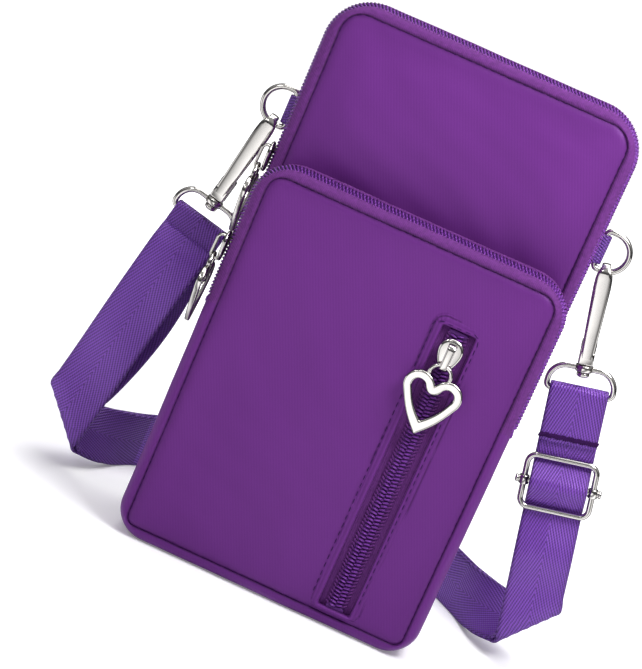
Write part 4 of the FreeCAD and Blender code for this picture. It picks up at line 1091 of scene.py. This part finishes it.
def gate_shape():
    """Lever with a barrel on the gate's axis and a thumb knob."""
    line = np.array([GATE_AXIS, (0, 1.75, -19.0), (0, 2.3, -10.0), (0, 2.6, -5.0), (0, 2.62, -3.0)])
    scale = 4 * [(1.9, 1.2)] + [(1.7, 0.9)]
    shape = Shape().add(*sweep(line, (1, 0, 0), oval(1.0, 1.0, 3.0, 16), scale=scale))
    barrel = [(0.8, -0.95), (1.2, -0.95), (1.3, -0.8), (1.3, 0.8), (1.2, 0.95), (0.8, 0.95)]
    shape.add(*lathe(barrel, along_x=True), at=GATE_AXIS)
    knob, faces = lathe([(0.2, 1.5), (0.7, 1.4), (0.95, 1.0), (0.75, 0.4), (0.6, -0.4)], 14)
    return shape.add(knob[:, [0, 2, 1]], faces, at=(0, 2.2, -18.5))


def both_ends(half):
    """Profile of a turned pin whose second end mirrors its first."""
    return half + [(r, -z) for r, z in reversed(half)]


def pin_shape():
    pin = both_ends([(0.3, -2.62), (0.6, -2.6), (0.75, -2.5), (0.7, -2.4)])
    return Shape().add(*lathe(pin, 16, along_x=True), at=GATE_AXIS)


def spring_shape():
    count, coil_r, half = 60, 1.03, 0.42
    a = np.linspace(0, 3 * math.tau, count)
    radial = np.stack([np.zeros(count), np.cos(a), np.sin(a)], 1)
    path = GATE_AXIS + radial * coil_r
    path[:, 0] = np.linspace(-half, half, count)
    return Shape().add(*sweep(path, radial, oval(0.24, 0.24, count=8)))


def tab_shape():
    """Ribbon folded round the D-ring's straight side."""
    way = turtle([(TAB_LONG, 0), (math.pi * TAB_R, 180), (TAB_LONG, 0)],
                 (DRING_X - TAB_LONG, CLIP_Y - TAB_R), 0, 0.5)
    line, across, face = lying(way, DRING_Z)
    # The last argument is painted shade on the tab, which lies in shadow.
    return ribbon(*rows(line, across, face, TAB_WIDE), TAB_WIDE, CLOTH, 0.0, 0.5)


def clips():
    for name, side in (("left", -1), ("right", 1)):
        ring = d_ring_shape().object(name + "_d_wire", "BrightNickel", mirror_to(side))
        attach(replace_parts(ring, name + "_d_ring"), name + "_d_ring")
        for piece, node, body, shape in (
            ("hook_cast", "hook_body", "hook", hook_shape()),
            ("gate_lever", "hook_gate", "gate", gate_shape()),
            ("hinge_pin", "gate_pin", "hook", pin_shape()),
            ("return_spring", "gate_spring", "hook", spring_shape()),
            ("ring_wire", "strap_ring", "ring", strap_ring_shape()),
        ):
            obj = shape.object(name + "_" + piece, "BrightNickel", to_clip(side))
            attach(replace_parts(obj, name + "_" + node), name + "_" + body)
        tab = tab_shape().object(name + "_tab_ribbon", "Webbing", mirror_to(side))
        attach(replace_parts(tab, name + "_tab"), "pouch")


# Webbing


# Half of its section: places across as shares of the width, half thickness as shares of the whole
HALF_U = np.array([0.5, 0.492, 0.47, 0.43, 0.30, 0.15])
HALF_V = np.array([0.08, 0.32, 0.50, 0.45, 0.5, 0.48])
SECTION_U = np.concatenate([-HALF_U, [0.0], HALF_U[::-1]])
SECTION_V = np.concatenate([HALF_V, [0.5], HALF_V[::-1]])
MIDDLE = len(HALF_U)


def ribbon(points, normals, wide, thick, start, shade=0.0):
    """Closed webbing with thin selvedges from rows of points. start is the weave's place along it."""
    lift = normals * (SECTION_V * thick)[None, :, None]
    rings = np.concatenate([points + lift, (points - lift)[:, ::-1]], 1)
    along = start + distances(points[:, MIDDLE])
    off = 0.01
    across = (np.concatenate([SECTION_U, SECTION_U[::-1]]) + 0.5) * wide + off
    weave = np.stack(np.broadcast_arrays(across[None, :], along[:, None]), 2).reshape(-1, 2)
    # The colour darkens along the two edges; shade is painted shade over the whole length, for layers in
    # shadow.
    edge = np.clip((abs(across - off - wide / 2) / wide - 0.42) * 9, 0, 0.5)
    return Shape().add(*tube(rings), np.tile(np.maximum(edge, shade), len(rings)), weave)


def rows(centre, across, normal, wide):
    """Straight rows across a line, and their normals."""
    points = centre[:, None, :] + across[:, None, :] * (SECTION_U * wide)[None, :, None]
    return points, np.repeat(normal[:, None, :], len(SECTION_U), 1)


def lying(way, z):
    """Line, width and face directions of webbing that stands on edge along a way at height z."""
    n = len(way)
    line = np.stack([way[:, 0], way[:, 1], np.full(n, z)], 1)
    face = np.stack([-np.sin(way[:, 2]), np.cos(way[:, 2]), np.zeros(n)], 1)
    return line, np.tile((0.0, 0.0, 1.0), (n, 1)), face


def clip_strip(way, side):
    """Line, width and face directions of webbing that bends in a clip's own YZ plane."""
    place, none = to_clip(side), np.zeros(len(way))
    origin = place(np.zeros((1, 3)))
    across = np.tile(place(np.array([[1.0, 0, 0]])) - origin, (len(way), 1))
    face = np.stack([none, -np.sin(way[:, 2]), np.cos(way[:, 2])], 1)
    return place(np.stack([none, way[:, 0], way[:, 1]], 1)), across, place(face) - origin


def slant(side):
    """Directions of a hanging run: down, across, along its fold line and square to that line."""
    down = np.array([side * math.sin(LEAN), 0, -math.cos(LEAN)])
    across = np.array([side * math.cos(LEAN), 0, math.sin(LEAN)])
    line = unit(down + (-side, 0, 0))
    return down, across, line, unit(down - line * (down @ line))


def fold_rows(side, knee, s, u):
    """Rows of webbing wrapped round a slanted knee, s below the knee and u across, and their normals."""
    down, across, line, square = slant(side)
    s, u = np.asarray(s, float)[:, None], np.asarray(u, float)[None, :]
    along = (s * (down @ line) + u * (across @ line))[..., None]
    beyond = s * (down @ square) + u * (across @ square)
    turn = np.clip(beyond / KNEE_R, 0, KNEE_TURN)
    back = np.array([0, 1.0, 0])
    c, w = np.cos(turn)[..., None], np.sin(turn)[..., None]
    wrap = square * w + back * (1 - c)
    ahead = (square * c + back * w) * (beyond - turn * KNEE_R)[..., None]
    return knee + line * along + wrap * KNEE_R + ahead, square * w - back * c


def foot_rows(side, knee, below, gap, wide):
    """Rows from the end of the knee's bend to the foot, where the webbing stands on its edge."""
    corner, _ = fold_rows(side, knee, (below, below + 1), (0.0, 1.0))
    after, ahead, above = corner[0, 0], corner[1, 0] - corner[0, 0], corner[0, 1] - corner[0, 0]
    h = math.radians(FOOT_HEADING)
    heading = np.array([-side * math.cos(h), math.sin(h), 0.0])
    foot = np.array([side * FOOT[0], FOOT[1], wide / 2])
    pull = np.linalg.norm(foot - after) / 3
    a, b, c, d = after, after + ahead * pull, foot - heading * pull, foot
    t = np.linspace(0, 1, 26)[1:, None]
    line = a * (1 - t) ** 3 + b * 3 * (1 - t) ** 2 * t + c * 3 * (1 - t) * t ** 2 + d * t ** 3
    way = unit((b - a) * (1 - t) ** 2 + (c - b) * 2 * (1 - t) * t + (d - c) * t ** 2)
    across = above * (1 - smooth(t)) + np.array([0, 0, 1.0]) * smooth(t)
    across = unit(across - way * (across * way).sum(1, keepdims=True))
    face = np.cross(way, across) * side
    return rows(line + face * gap, across, face, wide)


def run_rows(side, start_y, start_z, gap_top, layer, lead=0.0, hem=0.0, shift=0.0):
    """One hanging layer: straight down, folded on a slant near the table, then up on its edge.
    layer is +1 outside and -1 inside, and lead is how far above the start the webbing begins."""
    wide, _ = strap_size()
    gap_foot, bulge = layer * LAYER_GAP, layer * BULGE
    u = SECTION_U * wide
    start = clip_at(0, start_y, start_z, side)
    down, across, _, square = slant(side)
    drop = (KNEE_Z - start[2]) / down[2]
    knee = start + down * drop
    spread = wide / 2 * (across @ square) / (down @ square)
    bend_end = KNEE_TURN * KNEE_R / (down @ square) + spread
    s = np.concatenate([np.arange(-drop - lead, -spread, 1.2), np.arange(-spread, bend_end, 0.6),
                        [bend_end]])
    points, normals = fold_rows(side, knee, s, u)
    k = np.clip((s + drop) / (drop - spread), 0, 1)
    gap = gap_top + (gap_foot - gap_top) * smooth(k) + bulge * np.sin(math.pi * k) ** 2
    ease = np.sin(math.pi * np.clip((s + drop) / (drop + bend_end), 0, 1))
    cup = 0.35 * np.sin(s[:, None] * 0.16 + u[None, :] * 0.19) * ease[:, None]
    if hem:
        begin = s - s[0]
        step = hem * (smooth(begin / 1.2) - smooth((begin - 8) / 30))
        swell = 3.3 * smooth(begin / 7) * (1 - smooth((begin - 6) / 34))
        gap = gap + step + swell
    points = points + normals * (gap[:, None] + cup)[..., None]
    points = points - across * (shift * np.sin(math.pi * k) ** 0.8)[:, None, None]
    end_points, end_normals = foot_rows(side, knee, bend_end, gap_foot, wide)
    return np.concatenate([points, end_points]), np.concatenate([normals, end_normals])


def hang(name, points, normals, bodies, start, node, shade=0.0, cuts=None):
    """Cuts a hanging layer into lengths, one for each joint between the bodies listed, and bakes each in
    place.
    """
    wide, thick = strap_size()
    line = points[:, MIDDLE]
    steps = distances(line)
    cuts = np.linspace(0, 1, len(bodies)) if cuts is None else cuts
    edges = [int(np.argmin(abs(steps - steps[-1] * cut))) for cut in cuts]
    made = []
    for i, (a, b) in enumerate(zip(edges[:-1], edges[1:])):
        part = slice(a, b + 1)
        shape = ribbon(points[part], normals[part], wide, thick, start + steps[a], shade)
        obj = shape.object("%s_%d" % (name, i + 1), "Webbing")
        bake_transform(obj)
        made.append(obj)
    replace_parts(made[0], node)


def lay(name, strip, body, start, node, ends=None, shade=0.0):
    """One length of webbing along a strip. It rides on a body, or is baked in place when ends are given."""
    wide, thick = strap_size()
    flat = distances(strip[0])[-1]
    obj = ribbon(*rows(*strip, wide), wide, thick, start, shade).object(name, "Webbing")
    if ends is None:
        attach(obj, body)
    else:
        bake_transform(obj)
    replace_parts(obj, node)
    return start + flat


def back_route():
    """Route of the webbing behind the pouch, from the left foot to the right foot."""
    first = 2 * FOOT[0] - 87.0
    loop, last_r = 34.6, 26.0
    moves = [(30.0, 0.0), (32.0, -FOOT_HEADING), (first, 0.0), (loop, 180.0), (first - 4.0, 0.0),
             (loop, -180.0)]
    corner = (60.0, -90.0)
    foot = (-FOOT[0], FOOT[1])
    end = turtle(moves + [corner], foot, FOOT_HEADING)[-1]
    turn = -FOOT_HEADING - math.degrees(end[2])
    arc = (abs(math.radians(turn)) * last_r, turn)
    end = turtle(moves + [corner, arc], foot, FOOT_HEADING)[-1]
    h = math.radians(FOOT_HEADING)
    last = (end[1] - FOOT[1]) / math.sin(h)
    straight = FOOT[0] - last * math.cos(h) - end[0]
    return turtle(moves + [(straight, 0.0), corner, arc, (last, 0.0)], foot, FOOT_HEADING, 2.0)


def left_webbing():
    """Fold over the left ring and the two layers that hang from it. Returns the weave's place."""
    top = BAR_Z - FOLD_LONG
    fold = turtle([(FOLD_LONG, 0), (math.pi * FOLD_R, 180), (FOLD_LONG, 0)], (FOLD_R, top), 90, 0.6)
    # The fold round the ring gets painted shade.
    start = lay("strap_fold_left", clip_strip(fold, -1), "left_ring", 0.0, "strap_left_fold", shade=0.35)
    chain = ["left_ring", "left_hook", "left_d_ring", "pouch"]
    outer = run_rows(-1, 0.0, top, FOLD_R, 1, lead=3.4, hem=1.35)
    hang("strap_left_outer", *outer, chain, start, "strap_left_outer_run")
    inner = run_rows(-1, 0.0, top, -FOLD_R, -1, shift=3.2)
    # The inner layer gets painted shade, as it hangs in the outer layer's shadow.
    hang("strap_left_inner", *inner, chain, -120.0, "strap_left_inner_run", 0.55)
    return start + distances(outer[0][:, MIDDLE])[-1]


def strap():
    behind = left_webbing()
    mid, up, out = lying(back_route(), STRAP_MID_Z)
    for layer, side in (("outer", 1), ("inner", -1)):
        name, node = "strap_behind_" + layer, "strap_back_" + layer
        line = mid + out * (side * LAYER_GAP)
        s = distances(line)
        cut = int(np.argmin(abs(s[-1] - s[:-1] - STRAP_LIFT)))
        first, last = ([v[part] for v in (line, up, out)]
                       for part in (slice(0, cut + 1), slice(cut, None)))
        start = lay(name, first, "pouch", behind, node)
        lay(name + "_end", last, ("pouch", "right_d_ring"), start, node, ends=(line[cut], line[-1]))
    tie, doubled, thick, slack, thread = BUCKLE_Z + BUCKLE_HALF, 17.0, 1.2, 0.2, 0.4
    turn = math.degrees(math.asin((2 * FOLD_R - thick - slack) / doubled))
    sewn = turtle([(BAR_Z - tie, 0), (math.pi * FOLD_R, 180), (1.0, turn), (doubled, 0)],
                  (FOLD_R, tie), 90, 0.7)
    lay("strap_sewn_end", clip_strip(sewn, 1), ("right_ring", "buckle_frame"), 0.0, "strap_right_end",
        ends=(clip_at(0, FOLD_R, BAR_Z - 19.0, 1), clip_at(0, FOLD_R, tie + 0.6, 1)))
    buckle_webbing(tie)
    x = np.arange(-9.6, 9.7, 0.64)
    z = BAR_Z - 16.1 + 0.12 * np.sin(x * 2.3)
    centres = upright(np.stack([x, z], 1), FOLD_R - thick - 0.7 - thread)
    lean = unit(np.array([0.45, 0.0, 1.0]))
    tack = place_beads(Shape(), pill(1.9, 0.8, 0.9, 6), centres, lean, OUTSIDE)
    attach(tack.object("strap_tack", "Thread", to_clip(1)), "right_ring")


def buckle_webbing(tie):
    """Webbing over the buckle's bar, the inner end sewn round it, and the two layers that hang."""
    over, half, ease, reach = 3.2, 7.5, 1.1, 6.5
    lean = math.asin(over / math.hypot(half, FOLD_R)) + math.atan2(FOLD_R, half)
    kink = math.degrees(lean)
    slope = (half - over * math.sin(lean)) / math.cos(lean) - ease / 2
    straight = tie - BUCKLE_Z - half - ease / 2
    upper = turtle([(straight, 0), (ease, -kink), (slope, 0), (lean * over, kink)], (FOLD_R, tie), 270, 0.5)
    lower = turtle([(lean * over, kink), (slope, 0), (ease, -kink), (straight, 0)], upper[-1][:2],
                   math.degrees(upper[-1][2]), 0.5)
    top, mid, low = (clip_at(0, 0, BUCKLE_Z + z, 1) for z in (reach, 0.0, -reach))
    start = lay("strap_over_bar_upper", clip_strip(upper, 1), ("buckle_frame", "buckle_bar"), 40.0,
                "strap_buckle_fold", ends=(top, mid + (top - mid) * 0.4))
    start = lay("strap_over_bar_lower", clip_strip(lower, 1), ("buckle_bar", "buckle_frame"), start,
                "strap_buckle_fold", ends=(mid + (low - mid) * 0.4, low))
    chain = ["buckle_frame", "right_ring", "right_hook", "right_d_ring"]
    run_y, run_z, _ = lower[-1]
    outer = run_rows(1, run_y, run_z, 0.0, 1)
    hang("strap_right_outer", *outer, chain, start, "strap_right_outer_run", cuts=(0.0, 0.25, 0.62, 1.0))
    wrap = turtle([(math.radians(150) * FOLD_R, -150), (3.2, 0), (2.2, -30)], (-FOLD_R, BUCKLE_Z), 90, 0.5)
    lay("strap_inner_sewn", clip_strip(wrap, 1), "buckle_bar", 0.0, "strap_inner_end")
    end_y, end_z, _ = wrap[-1]
    inner = run_rows(1, run_y, run_z, run_y - end_y, -1, lead=end_z - run_z)
    hang("strap_right_inner", *inner, ["buckle_bar"] + chain, 6.0, "strap_right_inner_run",
         cuts=(0.0, 0.15, 0.38, 0.62, 1.0))


def buckle():
    corner, side = (4.712, -90), (12.0, 0)
    way = turtle([(8.6, 0), corner, side, corner, (17.2, 0), corner, side, corner, (8.6, 0)],
                 (0.0, BUCKLE_Z + BUCKLE_HALF), 0, 0.8)[:-1]
    wire = Shape().add(*wire_loop(upright(way))).object("buckle_wire", "BrightNickel", to_clip(1))
    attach(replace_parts(wire, "buckle_frame"), "buckle_frame")
    rod = both_ends([(0.3, -14.55), (0.9, -14.5), (1.25, -14.3), (1.3, -13.9), (1.2, -13.5),
                     (1.0, -13.45)])
    shape = Shape().add(*lathe(rod, along_x=True), at=(0, 0, BUCKLE_Z))
    sleeve = [(1.2, -1.5), (1.55, -1.5), (1.7, -1.3), (1.7, 1.3), (1.55, 1.5), (1.2, 1.5)]
    for s in (-1, 1):
        shape.add(*lathe(sleeve, closed=True), at=(s * 11.6, 0, BUCKLE_Z))
    bar = shape.object("buckle_rod", "BrightNickel", to_clip(1))
    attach(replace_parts(bar, "buckle_bar"), "buckle_bar")


# Stage, in metres


# Lamps: place, aim, size and power
LAMPS = {
    "key": ((0.16, -0.16, 0.37), (0.03, 0, 0.14), 0.16, 1.15),
    "front": ((-0.22, -0.78, 0.62), (-0.02, 0, 0.1), 0.14, 0.3),
    "left": ((-0.30, -0.32, 0.42), (-0.075, 0, 0.09), 0.08, 0.2),
    "top": ((0.0, 0.2, 1.1), (0, 0.1, 0.05), 0.9, 10.0),
}
# Camera: angles in degrees, distance, aim, and focal length in pixels of a picture this long
AZIMUTH, RISE, ROLL = 3.0, 13.0, 23.665
CAMERA_AWAY = 0.7
CAMERA_AIM = (-0.01588, -0.0085, 0.08353)
FOCAL, LONG_SIDE, SENSOR = 2158.1, 669, 36


def table_material():
    """White table that glows away from the pouch and shows dark bars to reflections only."""
    mat = bpy.data.materials.new("Table")
    mat.use_nodes = True
    tree = mat.node_tree
    bsdf = tree.nodes["Principled BSDF"]
    floor = rgba(bpy.context.scene.pouch_colours.floor)
    where = place_of(tree)
    x, y, _ = add(tree, "ShaderNodeSeparateXYZ", Vector=where).outputs
    turn = maths(tree, "ADD", maths(tree, "ARCTAN2", y, x), math.pi / 2)
    bars = maths(tree, "COSINE", maths(tree, "MULTIPLY", turn, 5.0))
    mirrored = add(tree, "ShaderNodeLightPath").outputs["Is Glossy Ray"]
    dark = maths(tree, "MULTIPLY", mirrored, times_plus(tree, bars, -0.46, 0.44))
    tree.links.new(mix_colour(tree, dark, floor, (0.02, 0.02, 0.022, 1)), bsdf.inputs["Base Color"])
    bsdf.inputs["Roughness"].default_value = 0.6
    bsdf.inputs["Emission Color"].default_value = floor
    away = add(tree, "ShaderNodeVectorMath", {"operation": "LENGTH"}, in0=where).outputs["Value"]
    glow = add(tree, "ShaderNodeMapRange", Value=away, From_Min=0.12, From_Max=0.55, To_Min=0.2,
               To_Max=0.9).outputs[0]
    seen = maths(tree, "SUBTRACT", 1.0, dark)
    tree.links.new(maths(tree, "MULTIPLY", glow, seen), bsdf.inputs["Emission Strength"])
    return mat


def studio_world():
    """Sky that brightens from the horizon up."""
    world = bpy.data.worlds.new("Studio")
    world.use_nodes = True
    tree = world.node_tree
    height = add(tree, "ShaderNodeSeparateXYZ", Vector=place_of(tree, "Generated")).outputs[2]
    ramp = add(tree, "ShaderNodeValToRGB", Fac=times_plus(tree, height, 0.5, 0.5))
    stops = ramp.color_ramp.elements
    low, high = stops[0], stops[1]
    low.position, low.color = 0.5, (0.06, 0.06, 0.065, 1)
    high.position, high.color = 0.80, (1.0, 1.0, 1.0, 1)
    stops.new(0.62).color = (0.2, 0.2, 0.21, 1)
    background = tree.nodes["Background"].inputs
    tree.links.new(ramp.outputs[0], background["Color"])
    background["Strength"].default_value = 0.38
    return world


def stage():
    scene = bpy.context.scene
    scene.view_settings.view_transform = "Standard"
    tool = bmesh.new()
    bmesh.ops.create_grid(tool, x_segments=1, y_segments=1, size=20.0)
    mesh = bpy.data.meshes.new("table")
    tool.to_mesh(mesh)
    tool.free()
    mesh.materials.append(table_material())
    table = bpy.data.objects.new("table", mesh)
    scene.collection.objects.link(table)
    scene.world = studio_world()
    for name, (place, aim, size, power) in LAMPS.items():
        light = bpy.data.lights.new(name, "AREA")
        light.size = size
        light.energy = power
        lamp = bpy.data.objects.new(name, light)
        lamp.location = place
        lamp.rotation_euler = (Vector(aim) - Vector(place)).to_track_quat("-Z", "Y").to_euler()
        scene.collection.objects.link(lamp)
    azimuth, rise, roll = (math.radians(a) for a in (AZIMUTH, RISE, ROLL))
    back = Vector((math.sin(azimuth) * math.cos(rise), -math.cos(azimuth) * math.cos(rise),
                   math.sin(rise)))
    right = Vector((math.cos(azimuth), math.sin(azimuth), 0))
    up = back.cross(right)
    x = right * math.cos(roll) + up * math.sin(roll)
    y = up * math.cos(roll) - right * math.sin(roll)
    data = bpy.data.cameras.new("photo")
    data.lens = FOCAL / LONG_SIDE * SENSOR
    camera = bpy.data.objects.new("photo", data)
    place = Matrix.Translation(Vector(CAMERA_AIM) + back * CAMERA_AWAY)
    camera.matrix_world = place @ Matrix((x, y, back)).transposed().to_4x4()
    scene.collection.objects.link(camera)
    scene.camera = camera


# Operators


class POUCH_OT_main(bpy.types.Operator):
    """Build the main compartment's panels, gusset, zip tapes and lining"""
    bl_idname = "pouch.main"
    bl_label = "Main compartment"
    bl_options = {"REGISTER"}

    def execute(self, context):
        main_shell()
        return {"FINISHED"}


class POUCH_OT_pocket(bpy.types.Operator):
    """Build the front pocket's panel, gusset and zip tapes"""
    bl_idname = "pouch.pocket"
    bl_label = "Front pocket"
    bl_options = {"REGISTER"}

    def execute(self, context):
        pocket_shell()
        return {"FINISHED"}


class POUCH_OT_zips(bpy.types.Operator):
    """Build the coils of the two zips in the gussets"""
    bl_idname = "pouch.zips"
    bl_label = "Gusset zips"
    bl_options = {"REGISTER"}

    def execute(self, context):
        zips()
        return {"FINISHED"}


class POUCH_OT_welt(bpy.types.Operator):
    """Build the welted zip in the front panel"""
    bl_idname = "pouch.welt"
    bl_label = "Welt zip"
    bl_options = {"REGISTER"}

    def execute(self, context):
        welt_zip()
        return {"FINISHED"}


class POUCH_OT_pulls(bpy.types.Operator):
    """Build the zip sliders and heart pulls"""
    bl_idname = "pouch.pulls"
    bl_label = "Sliders and hearts"
    bl_options = {"REGISTER"}

    def execute(self, context):
        pulls()
        return {"FINISHED"}


class POUCH_OT_clips(bpy.types.Operator):
    """Build the side tabs, D-rings, snap hooks and strap rings"""
    bl_idname = "pouch.clips"
    bl_label = "Clips"
    bl_options = {"REGISTER"}

    def execute(self, context):
        clips()
        return {"FINISHED"}


class POUCH_OT_strap(bpy.types.Operator):
    """Build the shoulder strap's webbing"""
    bl_idname = "pouch.strap"
    bl_label = "Strap"
    bl_options = {"REGISTER"}

    def execute(self, context):
        strap()
        return {"FINISHED"}


class POUCH_OT_buckle(bpy.types.Operator):
    """Build the strap's slider buckle"""
    bl_idname = "pouch.buckle"
    bl_label = "Buckle"
    bl_options = {"REGISTER"}

    def execute(self, context):
        buckle()
        return {"FINISHED"}


class POUCH_OT_stage(bpy.types.Operator):
    """Set up the table, the light and the camera"""
    bl_idname = "pouch.stage"
    bl_label = "Stage"
    bl_options = {"REGISTER"}

    def execute(self, context):
        stage()
        return {"FINISHED"}


OPERATORS = (POUCH_OT_main, POUCH_OT_pocket, POUCH_OT_zips, POUCH_OT_welt, POUCH_OT_pulls,
             POUCH_OT_clips, POUCH_OT_strap, POUCH_OT_buckle, POUCH_OT_stage)


class POUCH_PT_panel(bpy.types.Panel):
    """Sizes, colours and build steps of the pouch"""
    bl_idname = "POUCH_PT_panel"
    bl_label = "Phone pouch"
    bl_space_type = "VIEW_3D"
    bl_region_type = "UI"
    bl_category = "Pouch"

    def draw(self, context):
        for group in (context.scene.pouch_sizes, context.scene.pouch_colours):
            for key in group.__annotations__:
                self.layout.prop(group, key)
        for operator in OPERATORS:
            self.layout.operator(operator.bl_idname)


CLASSES = (PouchSizes, PouchColours, *OPERATORS, POUCH_PT_panel)


def register():
    for cls in CLASSES:
        bpy.utils.register_class(cls)
    bpy.types.Scene.pouch_sizes = PointerProperty(type=PouchSizes)
    bpy.types.Scene.pouch_colours = PointerProperty(type=PouchColours)


def unregister():
    del bpy.types.Scene.pouch_colours
    del bpy.types.Scene.pouch_sizes
    for cls in reversed(CLASSES):
        bpy.utils.unregister_class(cls)


def main():
    register()
    for step in ("main", "pocket", "zips", "welt", "pulls", "clips", "strap", "buckle", "stage"):
        getattr(bpy.ops.pouch, step)()


if __name__ == "__main__":
    main()
